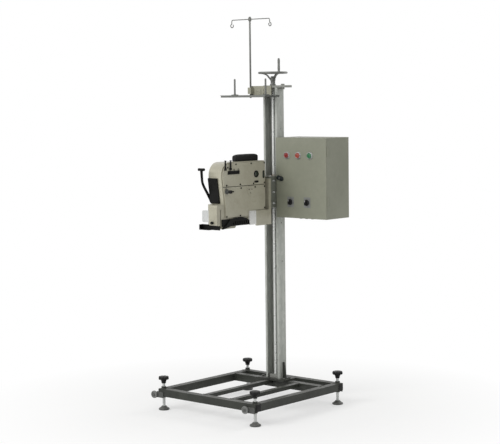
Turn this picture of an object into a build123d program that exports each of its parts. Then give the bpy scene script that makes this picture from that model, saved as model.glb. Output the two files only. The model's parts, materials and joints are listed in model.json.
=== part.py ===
"""Pedestal bag closer: a sewing head on a screw-lifted column, with a thread stand and a control box.

All sizes are millimetres.  X runs along the bag's way (bags leave towards -X), Y points away from the
operator and Z up.  The origin is on the floor, in the middle of the machine's outline.
"""
from build123d import *
from math import cos, hypot, pi, radians, sin
import os

# ---------------------------------------------------------------- base frame
FRAME_WIDTH = 686.0          # over the side beams
FRAME_DEPTH = 720.0          # over the front and rear beams
BEAM = 40.0                  # square tube
BEAM_WALL = 2.5
BEAM_LIFT = 75.0             # floor to the underside of the tubes
RAIL_WIDTH = 30.0            # the two flat inner rails
RAIL_HEIGHT = 20.0
RAIL_WALL = 2.0
RAIL_X = (-37.0, 150.0)

# ---------------------------------------------------------------- levelling feet
FOOT_ROD_R = 8.0
FOOT_BUSH_R = 13.0
FOOT_BUSH_RISE = 11.0        # how far the bush stands above the tube
FOOT_BUSH_DROP = 8.0
PAD_R = 29.0
PAD_RIM_H = 9.0
PAD_H = 21.0
PAD_NECK_R = 13.0
PAD_SOCKET_DEPTH = 13.0
KNOB_R = 28.0
KNOB_RIM_H = 17.0
KNOB_HUB_R = 11.0
KNOB_HUB_H = 20.0
KNOB_TOP = 180.0

# ---------------------------------------------------------------- transport wheels
WHEEL_R = 20.0
WHEEL_WIDTH = 12.0
WHEEL_AXLE_R = 5.0
WHEEL_OFFSET = 42.0          # from the foot's axis, towards -X
WHEEL_Z = 82.0
WHEEL_BRACKET = 4.0
WHEEL_BRACKET_H = 30.0
WHEEL_SIDE_GAP = 0.5
AXLE_HEAD = 3.0

# ---------------------------------------------------------------- column and lift
COLUMN_X = -16.0
COLUMN_WIDTH = 100.0
COLUMN_DEPTH = 60.0
COLUMN_FRONT = 199.0
COLUMN_WALL = 5.0
COLUMN_LIP = 15.0
COLUMN_TOP = 1710.0
SIDE_HOLE_R = 5.5
SIDE_HOLES_Z = (770.0, 980.0, 1490.0)
FOOT_PLATE = 10.0
FOOT_PLATE_WIDTH = 190.0
FOOT_PLATE_DEPTH = 100.0
GUSSET = 8.0
GUSSET_HEIGHT = 90.0
FOOT_BOLT_R = 5.0
FOOT_BOLT_EDGE = 11.0
TOP_PLATE = 12.0
TOP_PLATE_RIGHT = 92.0
CAP_STUD_OUT = 16.0          # from the column's right face
CAP_HOLE_IN = 15.0           # from the cap plate's right end
CAP_HOLE_R = 8.0
SCREW_R = 10.0
SCREW_Y = 226.0
SCREW_SEAT = 5.0             # screw end above the foot plate
BEARING_H = 20.0
BEARING_R = 22.0
THRUST_GAP = 0.3

HANDWHEEL_R = 74.0           # to the middle of the rim
HANDWHEEL_RIM_R = 6.0
HANDWHEEL_RIM_Z = 1790.0
HANDWHEEL_HUB_R = 13.0
HANDWHEEL_HUB_H = 40.0
HANDWHEEL_SPOKES = 3
SPOKE_R = 5.0
SPOKE_BEND_R = 32.0          # where the dished spokes flatten out
SPOKE_BEND_DROP = 9.0
SPOKE_KNUCKLE = 0.6          # ball over each bend, proud of the rod
GRIP_ANGLE = -24.0
GRIP_R = 7.0
GRIP_LENGTH = 60.0
GRIP_GAP = 6.0
GRIP_PIN_R = 3.0
GRIP_PIN_HEAD = 4.0

# ---------------------------------------------------------------- carriage
CARRIAGE_Z = (1065.0, 1235.0)
CARRIAGE_FRONT = 130.0
CARRIAGE_GAP = 3.0           # block to the column's lips
SLIDE_CLEARANCE = 0.3
NECK_WIDTH = 60.0
CARRIAGE_BOLT_R = 6.0
SEAT_BOLT_R = 5.0
NUT_R = 18.0
NUT_LENGTH = 44.0
NUT_FLANGE_R = 22.0
NUT_FLANGE = 8.0

# ---------------------------------------------------------------- head bracket
BRACKET_PLATE = 18.0
BRACKET_LOW = 980.0
BRACKET_HIGH = 1225.0
SHELF_FRONT = 5.0
SHELF_Z = 1060.0             # the head's seat
SHELF = 12.0
BRACKET_WEB = 10.0
WEB_CORNER = 10.0
MOTOR_SHELF = 8.0

# ---------------------------------------------------------------- sewing head
HEAD_LEFT = -50.0
HEAD_RIGHT = 44.0
HEAD_FRONT = -260.0
HEAD_REAR = 89.0
HEAD_TOP = 1325.0
HEAD_BROW_R = 68.0
HEAD_WALL = 8.0
COVER = 6.0
COVER_INSET = 7.0
COVER_SEAM_Z = 1196.0
COVER_SEAM = 3.0
GUARD_LOW = 1112.0
GUARD_HIGH = 1244.0
GUARD_LEAN = 18.0            # how far the face steps back at the guard's foot
GUARD_RIGHT = 14.0
GUARD_THICK = 8.0
JAW_LEFT = -14.0
JAW_FRONT = -302.0
JAW_LOW = 1000.0
JAW_TOP = 1108.0
SLOT_FRONT = -277.0
SLOT_REAR = -266.0
SLOT_TOP = 1084.0
NOSE_LOW = 980.0
NOSE_REAR = -150.0
BELLY_Z = 1030.0             # underside between the nose and the seat
BELLY_REAR = 3.0
NEEDLE_X = 15.0
NEEDLE_Z = 1050.0
NEEDLE_STROKE = 28.0
NEEDLE_R = 1.25
NEEDLE_LENGTH = 32.0
NEEDLE_BAR_R = 5.0
NEEDLE_BAR_LENGTH = 105.0
CLAMP_R = 8.0
CLAMP_LENGTH = 14.0
THROAT_PLATE = 3.5
THROAT_MARGIN = 5.0
RUN_CLEARANCE = 0.05         # radial, shafts in their bores
PART_GAP = 0.4               # between faces that pass each other

MAIN_SHAFT_Y = -40.0
MAIN_SHAFT_Z = 1170.0
MAIN_SHAFT_R = 8.0
CRANK_R = 26.0
CRANK_THICK = 12.0
CRANK_PIN_R = 4.0
CRANK_SLACK = 3.4            # opened pivot of the crank in its yoke
YOKE_THICK = 7.0
YOKE_RIM = 6.0
BEARING_OUTER_R = 16.0
BEARING_WIDTH = 11.0
BEARING_BOSS = 30.0
HEAD_PULLEY_R = 45.0
PULLEY_WIDTH = 18.0
PULLEY_GROOVE = 5.0
PULLEY_SIDE_GAP = 18.0       # housing to pulley
MOTOR_PULLEY_R = 30.0
MOTOR_SHAFT_R = 7.0
MOTOR_Y = 105.0
MOTOR_Z = 1200.0
MOTOR_R = 56.0
MOTOR_LENGTH = 120.0
MOTOR_GAP = 10.0
MOTOR_FOOT = 8.0
BELT_THICK = 6.0
BELT_WIDTH = 10.0
BELT_GAP = 0.4

FEED_STROKE = 6.0
FEED_TEETH = 9
FEED_LENGTH = 30.0
FEED_HEIGHT = 8.0
FEED_STAND = 1.0
LOOPER_ROD_R = 3.0
LOOPER_ARM = 11.0
LOOPER_X = 31.0
LOOPER_Z = (1040.0, 1076.0)
POCKET_WALL = 4.0

PRESSER_ROD_R = 5.0
PRESSER_Z = 1016.0
PRESSER_LIFT = 5.0
SHOE_THICK = 3.0
SHOE_LOW = 976.0
SHOE_HIGH = 1036.0
SHOE_LEFT = -84.0
SHOE_RIGHT = 40.0
SHOE_TAIL_HIGH = 1004.0      # the shoe is lower left of the jaw
SHOE_LIP = 24.0

LEVER_THICK = 8.0
LEVER_GAP = 3.0
LEVER_PIVOT = (-236.0, 1126.0)
LEVER_BEND = (-300.0, 1216.0)
LEVER_TIP = (-306.0, 1290.0)
LEVER_WIDTH = 15.0
LEVER_PIN_R = 5.0
LEVER_PAD = 17.0             # how far the finger bar stands out on each side

CUTTER_LEFT = -62.0
CUTTER_LOW = 1017.0
CUTTER_HIGH = 1078.0
CUTTER_DEPTH = 20.0

HANDLE_Y = (-121.0, 58.0)
HANDLE_X = 4.0
HANDLE_WIDTH = 26.0
HANDLE_HEIGHT = 37.0
WINDOW_YZ = (10.0, 1255.0)
WINDOW_R = 18.5
GAUGE_YZ = (69.0, 1251.0)
GAUGE_SIZE = (15.0, 42.0)
CAP_YZ = (10.0, 1215.0)
TENSION_YZ = (-228.0, 1174.0)
TENSION_DISC_R = 13.0
TENSION_POST_R = 3.0
TENSION_POST_LENGTH = 40.0
TENSION_KNOB_R = 9.0
TENSION_KNOB_LENGTH = 14.0
THREAD_STRIP = (43.0, 6.0)   # thread strip behind the tension: length and height
THREAD_BAR_Y = (-215.0, -125.0)
THREAD_BAR_Z = (1262.0, 1280.0)
THREAD_POSTS_Y = (-237.0, -196.0)
THREAD_POST_R = 4.5
THREAD_POST_TOP = 1336.0
THREAD_POST_Z = 1284.0
FEED_GUARD_THICK = 8.0
FEED_GUARD_REAR = -54.0
FEED_GUARD_TOP = 1036.0
FEED_GUARD_RISE = 13.0       # underside of its rear part above the nose's
FEED_GUARD_SLOTS = 8
FEED_GUARD_PITCH = 17.0
GUARD_HOLDER_REAR = 0.0
GUARD_HOLDER_Z = (989.0, 1063.0)
GUARD_HOLDER_THICK = 6.0

# ---------------------------------------------------------------- thread stand
ROD_X = -139.0
ROD_R = 5.0
ROD_ABOVE_WIRE = 14.0
ROD_BELOW_TRAY = 14.0
WIRE_R = 3.0
WIRE_Z = 2080.0
WIRE_ENDS_X = (-270.0, 2.0)
EYE_R = 9.0
EYE_DROP = 22.0
STAND_PLATE = 5.0
STAND_PLATE_Z = (1669.0, 1720.0)
STAND_PLATE_RIGHT = -2.0
CLAMP_BLOCK = 22.0
STAND_BOLT_R = 3.0
TRAY_LEFT = -266.0
TRAY_RIGHT = 66.0
TRAY_FRONT = 70.0
TRAY_Z = 1669.0
TRAY_SHEET = 2.0
TRAY_LIP = 10.0
TRAY_UPSTAND = 34.0
SPINDLES_X = (-198.0, 22.0)
SPINDLE_Y = 120.0
SPINDLE_R = 5.0
SPINDLE_HEIGHT = 84.0
SPINDLE_BASE_R = 20.0
SPINDLE_BASE = 4.0

# ---------------------------------------------------------------- control box
BOX_LEFT = 38.0
BOX_RIGHT = 381.0
BOX_FRONT = 180.0
BOX_REAR = 375.0
BOX_LOW = 1014.0
BOX_HIGH = 1443.0
SHEET = 2.0
DOOR_DEPTH = 10.0
DOOR_GAP = 0.4
BOX_LIP = 14.0
SEAL_WIDTH = 8.0
HINGE_R = 4.0
HINGE_PIN_R = 2.0
HINGE_LENGTH = 24.0
HINGES_Z = (1105.0, 1370.0)
HINGE_LEAF = 26.0
LATCH_X = 69.0
LATCH_Z = 1225.0
LATCH_SIZE = (46.0, 26.0)
LATCH_SHAFT_R = 8.0
LATCH_CAM = 26.0
BUTTONS_X = (116.0, 193.0, 273.0)
BUTTON_Z = 1349.0
BUTTON_R = 14.5
BUTTON_TRAVEL = 4.0
BUTTON_PROUD = 5.0
SELECTORS_X = (139.0, 252.0)
SELECTOR_Z = 1100.0
BEZEL_R = 19.0
BEZEL_PROUD = 6.0
BARREL_R = 17.0
BARREL_LENGTH = 22.0
BEZEL_CLEARANCE = 0.3
CONTACT_BLOCK = 34.0
CONTACT_DEPTH = 30.0
LEGEND = (44.0, 56.0)
LEGEND_THICK = 1.5
SELECTOR_GRIP = 12.0
BACK_PLATE_MARGIN = 24.0
BACK_PLATE_GAP = 6.0
STRAPS_Z = (1110.0, 1370.0)
STRAP_HEIGHT = 40.0
STRAP_BOLT_R = 4.0
GLANDS_X = (110.0, 150.0, 190.0)
GLAND_R = 10.0
GLAND_DROP = 14.0

# ---------------------------------------------------------------- places worked out from the sizes
FOOT_X = (FRAME_WIDTH - BEAM) / 2
FOOT_Y = (FRAME_DEPTH - BEAM) / 2
BEAM_TOP = BEAM_LIFT + BEAM
FEET = {
    "front_left": (-FOOT_X, -FOOT_Y),
    "front_right": (FOOT_X, -FOOT_Y),
    "rear_left": (-FOOT_X, FOOT_Y),
    "rear_right": (FOOT_X, FOOT_Y),
}
COLUMN_REAR = COLUMN_FRONT + COLUMN_DEPTH
COLUMN_MID_Y = (COLUMN_FRONT + COLUMN_REAR) / 2
COLUMN_LEFT = COLUMN_X - COLUMN_WIDTH / 2
COLUMN_RIGHT = COLUMN_X + COLUMN_WIDTH / 2
COLUMN_FOOT_Z = BEAM_TOP + FOOT_PLATE
TOP_PLATE_TOP = COLUMN_TOP + TOP_PLATE
CROSS_FRONT = COLUMN_MID_Y - BEAM / 2
COVER_X = HEAD_RIGHT - COVER
GUARD_FACE_LOW = HEAD_FRONT + GUARD_LEAN
BRACKET_FRONT = CARRIAGE_FRONT - BRACKET_PLATE
PULLEY_RIGHT = HEAD_LEFT - PULLEY_SIDE_GAP
PULLEY_LEFT = PULLEY_RIGHT - PULLEY_WIDTH
MOTOR_RIGHT = PULLEY_LEFT - MOTOR_GAP
MOTOR_LEFT = MOTOR_RIGHT - MOTOR_LENGTH
MOTOR_SEAT = MOTOR_Z - MOTOR_R - MOTOR_FOOT
ROD_Y = COLUMN_FRONT - STAND_PLATE - CLAMP_BLOCK / 2
ROD_TOP = WIRE_Z + ROD_ABOVE_WIRE
ROD_FOOT = TRAY_Z - ROD_BELOW_TRAY
DOOR_REAR = BOX_FRONT + DOOR_DEPTH
BODY_FRONT = DOOR_REAR + DOOR_GAP


# ---------------------------------------------------------------- small tools
def block(x, y, z):
    """A box from three (low, high) pairs."""
    size = [high - low for low, high in (x, y, z)]
    middle = [(high + low) / 2 for low, high in (x, y, z)]
    return Pos(*middle) * Box(*size)


def bar(axis, at, radius, low, high):
    """A round bar along X, Y or Z; `at` holds the other two coordinates in X, Y, Z order."""
    middle = (low + high) / 2
    if axis == "X":
        place = Pos(middle, at[0], at[1]) * Rot(0, 90, 0)
    elif axis == "Y":
        place = Pos(at[0], middle, at[1]) * Rot(90, 0, 0)
    else:
        place = Pos(at[0], at[1], middle)
    return place * Cylinder(radius, high - low)


def ring(axis, at, outer, inner, low, high):
    """A round tube."""
    return bar(axis, at, outer, low, high) - bar(axis, at, inner, low, high)


def tapered(at, radius_low, radius_high, low, high):
    """An upright frustum."""
    height = high - low
    return Pos(at[0], at[1], (low + high) / 2) * Cone(radius_low, radius_high, height)


def hexagon(axis, at, across_corners, low, high):
    """A six-sided bolt head or nut along an axis."""
    prism = extrude(RegularPolygon(across_corners / 2, 6), high - low)
    if axis == "X":
        return Pos(low, at[0], at[1]) * Rot(0, 90, 0) * prism
    if axis == "Y":
        return Pos(at[0], high, at[1]) * Rot(90, 0, 0) * prism
    return Pos(at[0], at[1], low) * prism


def side_plate(points, x_low, x_high, rounds=()):
    """A plate in the YZ plane from an outline of (y, z) points; rounds lists (point index, radius)."""
    face = make_face(Polyline(*points, close=True))
    for index, radius in rounds:
        target = Vector(*points[index])
        corner = min(face.vertices(), key=lambda v: (Vector(v.X, v.Y) - target).length)
        face = fillet(corner, radius)
    return Plane.YZ.offset(x_low) * extrude(face, x_high - x_low)


def tube_beam(x, y, z, wall, along):
    """A square tube: open at both ends along X or Y."""
    inside = []
    for name, (low, high) in zip("XYZ", (x, y, z)):
        inside.append((low, high) if name == along else (low + wall, high - wall))
    return block(x, y, z) - block(*inside)


def ease(shape, axis, radius):
    """Round the straight edges that run along one axis."""
    return fillet(shape.edges().filter_by(axis), radius)


# ---------------------------------------------------------------- base
def base_frame():
    width, depth = FRAME_WIDTH / 2, FRAME_DEPTH / 2
    heights = (BEAM_LIFT, BEAM_TOP)
    tubes = []
    for y_low in (-depth, depth - BEAM):
        tube = tube_beam((-width, width), (y_low, y_low + BEAM), heights, BEAM_WALL, "X")
        for x, y in FEET.values():
            tube -= bar("Z", (x, y), FOOT_BUSH_R, BEAM_LIFT - 1, BEAM_TOP + 1)
        tubes.append(tube)
    for x_low in (-width, width - BEAM):
        y_span = (-depth + BEAM, depth - BEAM)
        tubes.append(tube_beam((x_low, x_low + BEAM), y_span, heights, BEAM_WALL, "Y"))
    cross = tube_beam(
        (-width + BEAM, width - BEAM),
        (CROSS_FRONT, CROSS_FRONT + BEAM),
        heights,
        BEAM_WALL,
        "X",
    )
    for x, y in foot_bolt_places():
        cross -= bar("Z", (x, y), FOOT_BOLT_R + 0.5, BEAM_TOP - BEAM_WALL - 1, BEAM_TOP + 1)
    tubes.append(cross)
    for x in RAIL_X:
        x_span = (x - RAIL_WIDTH / 2, x + RAIL_WIDTH / 2)
        z_span = (BEAM_TOP - RAIL_HEIGHT, BEAM_TOP)
        tubes.append(tube_beam(x_span, (-depth + BEAM, CROSS_FRONT), z_span, RAIL_WALL, "Y"))
    for at in FEET.values():
        bush_span = (BEAM_LIFT - FOOT_BUSH_DROP, BEAM_TOP + FOOT_BUSH_RISE)
        tubes.append(ring("Z", at, FOOT_BUSH_R, FOOT_ROD_R + RUN_CLEARANCE, *bush_span))
    return tubes


def levelling_pad(at):
    """A round foot with a cone up to its neck and a blind socket for the screw's end."""
    pad = bar("Z", at, PAD_R, 0, PAD_RIM_H)
    pad = fillet(pad.edges().sort_by(Axis.Z)[-1], 2.5)
    pad += tapered(at, PAD_R - 4, PAD_NECK_R, PAD_RIM_H, PAD_H)
    pad -= bar("Z", at, FOOT_ROD_R + RUN_CLEARANCE, PAD_H - PAD_SOCKET_DEPTH, PAD_H + 1)
    return [pad]


def levelling_screw(at):
    """The threaded rod and the hand knob on its upper end."""
    knob_low = KNOB_TOP - KNOB_RIM_H
    rod = bar("Z", at, FOOT_ROD_R, PAD_H - PAD_SOCKET_DEPTH + 0.2, KNOB_TOP - 4)
    knob = bar("Z", at, KNOB_R, knob_low, KNOB_TOP)
    knob = fillet(knob.edges().filter_by(GeomType.CIRCLE), 4)
    for count in range(8):
        angle = radians(45 * count)
        groove = (at[0] + (KNOB_R + 3) * cos(angle), at[1] + (KNOB_R + 3) * sin(angle))
        knob -= bar("Z", groove, 6.5, knob_low - 1, KNOB_TOP + 1)
    knob += tapered(at, KNOB_HUB_R, KNOB_HUB_R + 7, knob_low - KNOB_HUB_H, knob_low)
    knob -= bar("Z", at, FOOT_ROD_R, knob_low - KNOB_HUB_H - 1, KNOB_TOP - 4)
    return [rod, knob]


def wheel_places():
    """Each wheel's place, as (x, inner face y, outward sign)."""
    face = FRAME_DEPTH / 2
    places = {}
    for name, (x, y) in FEET.items():
        sign = 1 if y > 0 else -1
        places[name] = (x - WHEEL_OFFSET, sign * face, sign)
    return places


def spread(start, sign, near, far):
    """A (low, high) pair measured outwards from a face."""
    ends = (start + sign * near, start + sign * far)
    return min(ends), max(ends)


def wheel_brackets():
    """A flat bar on the beam's face, and the shouldered axle that it holds, at each corner."""
    pieces = []
    wheel_near = WHEEL_BRACKET + WHEEL_SIDE_GAP
    wheel_far = wheel_near + WHEEL_WIDTH
    for x, face, sign in wheel_places().values():
        x_span = (x - WHEEL_AXLE_R - 6, x + WHEEL_OFFSET + 16)
        z_span = (WHEEL_Z - WHEEL_BRACKET_H / 2, WHEEL_Z + WHEEL_BRACKET_H / 2)
        plate = block(x_span, spread(face, sign, 0, WHEEL_BRACKET), z_span)
        axle = bar(
            "Y",
            (x, WHEEL_Z),
            WHEEL_AXLE_R,
            *spread(face, sign, WHEEL_BRACKET, wheel_far + WHEEL_SIDE_GAP),
        )
        head_span = spread(face, sign, wheel_far + WHEEL_SIDE_GAP, wheel_far + WHEEL_SIDE_GAP + AXLE_HEAD)
        axle += bar("Y", (x, WHEEL_Z), WHEEL_AXLE_R + 3, *head_span)
        pieces += [plate, axle]
    return pieces


def transport_wheel(place):
    x, face, sign = place
    span = spread(face, sign, WHEEL_BRACKET + WHEEL_SIDE_GAP, WHEEL_BRACKET + WHEEL_SIDE_GAP + WHEEL_WIDTH)
    wheel = bar("Y", (x, WHEEL_Z), WHEEL_R, *span)
    wheel = fillet(wheel.edges().filter_by(GeomType.CIRCLE), 3)
    groove_depth = 2.5
    outer = span[0] if sign < 0 else span[1]
    dish = spread(outer, -sign, 0, groove_depth)
    wheel -= ring("Y", (x, WHEEL_Z), WHEEL_R - 5, WHEEL_AXLE_R + 4.5, *dish)
    return [wheel - bar("Y", (x, WHEEL_Z), WHEEL_AXLE_R + RUN_CLEARANCE, span[0] - 1, span[1] + 1)]


# ---------------------------------------------------------------- column
def foot_bolt_places():
    reach_x = FOOT_PLATE_WIDTH / 2 - FOOT_BOLT_EDGE
    reach_y = BEAM / 2 - BEAM_WALL - FOOT_BOLT_R - 1
    return [(COLUMN_X + i * reach_x, COLUMN_MID_Y + j * reach_y) for i in (-1, 1) for j in (-1, 1)]


def strap_bolt_places():
    """Places (y, z) of the bolts that hold the control box on the column's flange."""
    return [(COLUMN_MID_Y + i * 14, z) for i in (-1, 1) for z in STRAPS_Z]


def column():
    """A lipped channel, open towards the operator."""
    z_span = (COLUMN_FOOT_Z, COLUMN_TOP)
    profile = block((COLUMN_LEFT, COLUMN_RIGHT), (COLUMN_FRONT, COLUMN_REAR), z_span)
    profile = ease(profile, Axis.Z, 6)
    inner_x = (COLUMN_LEFT + COLUMN_WALL, COLUMN_RIGHT - COLUMN_WALL)
    profile -= block(inner_x, (COLUMN_FRONT + COLUMN_WALL, COLUMN_REAR - COLUMN_WALL), z_span)
    mouth_x = (COLUMN_LEFT + COLUMN_LIP, COLUMN_RIGHT - COLUMN_LIP)
    profile -= block(mouth_x, (COLUMN_FRONT - 1, COLUMN_FRONT + COLUMN_WALL + 1), z_span)
    flange_x = (COLUMN_RIGHT - COLUMN_WALL - 1, COLUMN_RIGHT + 1)
    for z in SIDE_HOLES_Z:
        profile -= bar("X", (COLUMN_MID_Y, z), SIDE_HOLE_R, *flange_x)
    for place in strap_bolt_places():
        profile -= bar("X", place, STRAP_BOLT_R + 0.3, *flange_x)
    lip_y = (COLUMN_FRONT - 1, COLUMN_FRONT + COLUMN_WALL + 1)
    for place in stand_bolt_places():
        profile -= bar("Y", place, STAND_BOLT_R + 0.3, *lip_y)
    return [profile]


def column_foot():
    """The foot plate with a gusset on each side, and the four bolts through it."""
    half_x, half_y = FOOT_PLATE_WIDTH / 2, FOOT_PLATE_DEPTH / 2
    plate = block(
        (COLUMN_X - half_x, COLUMN_X + half_x),
        (COLUMN_MID_Y - half_y, COLUMN_MID_Y + half_y),
        (BEAM_TOP, COLUMN_FOOT_Z),
    )
    plate = ease(plate, Axis.Z, 8)
    for sign, edge in ((-1, COLUMN_LEFT), (1, COLUMN_RIGHT)):
        reach = half_x - COLUMN_WIDTH / 2 - 2 * FOOT_BOLT_EDGE - 2
        outline = Polyline(
            (edge, COLUMN_FOOT_Z),
            (edge + sign * reach, COLUMN_FOOT_Z),
            (edge + sign * reach, COLUMN_FOOT_Z + 10),
            (edge + sign * 8, COLUMN_FOOT_Z + GUSSET_HEIGHT),
            (edge, COLUMN_FOOT_Z + GUSSET_HEIGHT),
            close=True,
        )
        gusset = extrude(make_face(Plane.XZ * outline), GUSSET / 2, both=True)
        plate += Pos(0, COLUMN_MID_Y, 0) * gusset
    bolts = []
    for place in foot_bolt_places():
        plate -= bar("Z", place, FOOT_BOLT_R + 0.5, BEAM_TOP - 1, COLUMN_FOOT_Z + 1)
        bolt = bar("Z", place, FOOT_BOLT_R, BEAM_TOP - 20, COLUMN_FOOT_Z)
        bolts.append(bolt + hexagon("Z", place, 17, COLUMN_FOOT_Z, COLUMN_FOOT_Z + 7))
    return [plate] + bolts


def top_plate():
    """The cap plate with its screws, drawn out to the right."""
    x_span = (COLUMN_LEFT, TOP_PLATE_RIGHT)
    y_span = (COLUMN_FRONT, COLUMN_REAR)
    plate = ease(block(x_span, y_span, (COLUMN_TOP, TOP_PLATE_TOP)), Axis.Z, 6)
    plate -= bar("Z", (COLUMN_X, SCREW_Y), SCREW_R + 3, COLUMN_TOP - 1, TOP_PLATE_TOP + 1)
    hole = (TOP_PLATE_RIGHT - CAP_HOLE_IN, COLUMN_MID_Y)
    plate -= bar("Z", hole, CAP_HOLE_R, COLUMN_TOP - 1, TOP_PLATE_TOP + 1)
    stud = (COLUMN_RIGHT + CAP_STUD_OUT, COLUMN_MID_Y)
    plate -= bar("Z", stud, 6.2, COLUMN_TOP - 1, TOP_PLATE_TOP + 1)
    bolt = bar("Z", stud, 6, COLUMN_TOP, TOP_PLATE_TOP)
    bolt += hexagon("Z", stud, 22, TOP_PLATE_TOP, TOP_PLATE_TOP + 8)
    bolt += hexagon("Z", stud, 22, COLUMN_TOP - 10, COLUMN_TOP)
    return [plate, bolt]


def screw_bearings():
    """The block that carries the screw's foot, and the flanged bearing under the cap plate."""
    at = (COLUMN_X, SCREW_Y)
    foot = block(
        (COLUMN_X - 28, COLUMN_X + 28),
        (SCREW_Y - 20, SCREW_Y + 20),
        (COLUMN_FOOT_Z, COLUMN_FOOT_Z + BEARING_H),
    )
    foot -= bar("Z", at, SCREW_R + RUN_CLEARANCE, COLUMN_FOOT_Z + SCREW_SEAT, COLUMN_FOOT_Z + BEARING_H + 1)
    head = ring("Z", at, BEARING_R, SCREW_R + RUN_CLEARANCE, COLUMN_TOP - BEARING_H, COLUMN_TOP)
    return [foot, head]


def lead_screw():
    """A round-crested lead screw with its thread left plain."""
    return [
        bar("Z", (COLUMN_X, SCREW_Y), SCREW_R, COLUMN_FOOT_Z + SCREW_SEAT, TOP_PLATE_TOP + HANDWHEEL_HUB_H)
    ]


def grip_place():
    angle = radians(GRIP_ANGLE)
    return COLUMN_X + HANDWHEEL_R * cos(angle), SCREW_Y + HANDWHEEL_R * sin(angle)


def handwheel():
    """A dished hand wheel: slim hub, bent spokes, round rim and the pin that the grip turns on."""
    at = (COLUMN_X, SCREW_Y)
    hub_low = TOP_PLATE_TOP + THRUST_GAP
    hub_high = hub_low + HANDWHEEL_HUB_H
    wheel = bar("Z", at, HANDWHEEL_HUB_R, hub_low, hub_high)
    wheel += Pos(COLUMN_X, SCREW_Y, HANDWHEEL_RIM_Z) * Torus(HANDWHEEL_R, HANDWHEEL_RIM_R)
    bend_z = HANDWHEEL_RIM_Z - SPOKE_BEND_DROP
    for count in range(HANDWHEEL_SPOKES):
        angle = radians(GRIP_ANGLE + 360 * count / HANDWHEEL_SPOKES)
        bends = ((8.0, hub_high - 10), (SPOKE_BEND_R, bend_z), (HANDWHEEL_R, HANDWHEEL_RIM_Z))
        points = [Vector(COLUMN_X + r * cos(angle), SCREW_Y + r * sin(angle), z) for r, z in bends]
        wheel += Pos(points[1]) * Sphere(SPOKE_R + SPOKE_KNUCKLE)
        for start, end in zip(points, points[1:]):
            along = end - start
            wheel += Plane(origin=start, z_dir=along) * Cylinder(
                SPOKE_R, along.length, align=(Align.CENTER, Align.CENTER, Align.MIN)
            )
    grip_low = HANDWHEEL_RIM_Z + HANDWHEEL_RIM_R + GRIP_GAP
    pin_high = grip_low + GRIP_LENGTH + THRUST_GAP
    wheel += bar("Z", grip_place(), GRIP_PIN_R + 3, HANDWHEEL_RIM_Z, grip_low - THRUST_GAP)
    wheel += bar("Z", grip_place(), GRIP_PIN_R, HANDWHEEL_RIM_Z, pin_high)
    wheel += bar("Z", grip_place(), GRIP_PIN_R + 2.5, pin_high, pin_high + GRIP_PIN_HEAD)
    wheel -= bar("Z", at, SCREW_R, hub_low - 1, TOP_PLATE_TOP + HANDWHEEL_HUB_H)
    return [wheel]


def handwheel_grip():
    low = HANDWHEEL_RIM_Z + HANDWHEEL_RIM_R + GRIP_GAP
    high = low + GRIP_LENGTH
    grip = bar("Z", grip_place(), GRIP_R, low, high)
    grip = fillet(grip.edges().filter_by(GeomType.CIRCLE), GRIP_R / 3)
    return [grip - bar("Z", grip_place(), GRIP_PIN_R + RUN_CLEARANCE, low - 1, high + 1)]


# ---------------------------------------------------------------- carriage and bracket
def carriage():
    """The block in front of the column, its neck, and the tongue that slides in the channel."""
    low, high = CARRIAGE_Z
    back = COLUMN_FRONT - CARRIAGE_GAP
    body = block((COLUMN_LEFT, COLUMN_RIGHT), (CARRIAGE_FRONT, back), CARRIAGE_Z)
    body = ease(body, Axis.Z, 5)
    half_neck = NECK_WIDTH / 2
    tongue_front = COLUMN_FRONT + COLUMN_WALL + SLIDE_CLEARANCE
    tongue_back = COLUMN_REAR - COLUMN_WALL - SLIDE_CLEARANCE
    body += block((COLUMN_X - half_neck, COLUMN_X + half_neck), (back - 1, tongue_front + 1), CARRIAGE_Z)
    half_tongue = COLUMN_WIDTH / 2 - COLUMN_WALL - SLIDE_CLEARANCE
    body += block((COLUMN_X - half_tongue, COLUMN_X + half_tongue), (tongue_front, tongue_back), CARRIAGE_Z)
    at = (COLUMN_X, SCREW_Y)
    body -= bar("Z", at, SCREW_R + 3, low - 1, high + 1)
    body -= bar("Z", at, NUT_R, high - NUT_LENGTH, high + 1)
    body -= bar("Z", at, NUT_FLANGE_R + 0.5, high - NUT_FLANGE, high + 1)
    return [body]


def lift_nut():
    """The bronze nut, let into the carriage from above."""
    at = (COLUMN_X, SCREW_Y)
    high = CARRIAGE_Z[1]
    nut = bar("Z", at, NUT_R, high - NUT_LENGTH, high)
    nut += bar("Z", at, NUT_FLANGE_R, high - NUT_FLANGE, high)
    return [nut - bar("Z", at, SCREW_R + RUN_CLEARANCE, high - NUT_LENGTH - 1, high + 1)]


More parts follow.
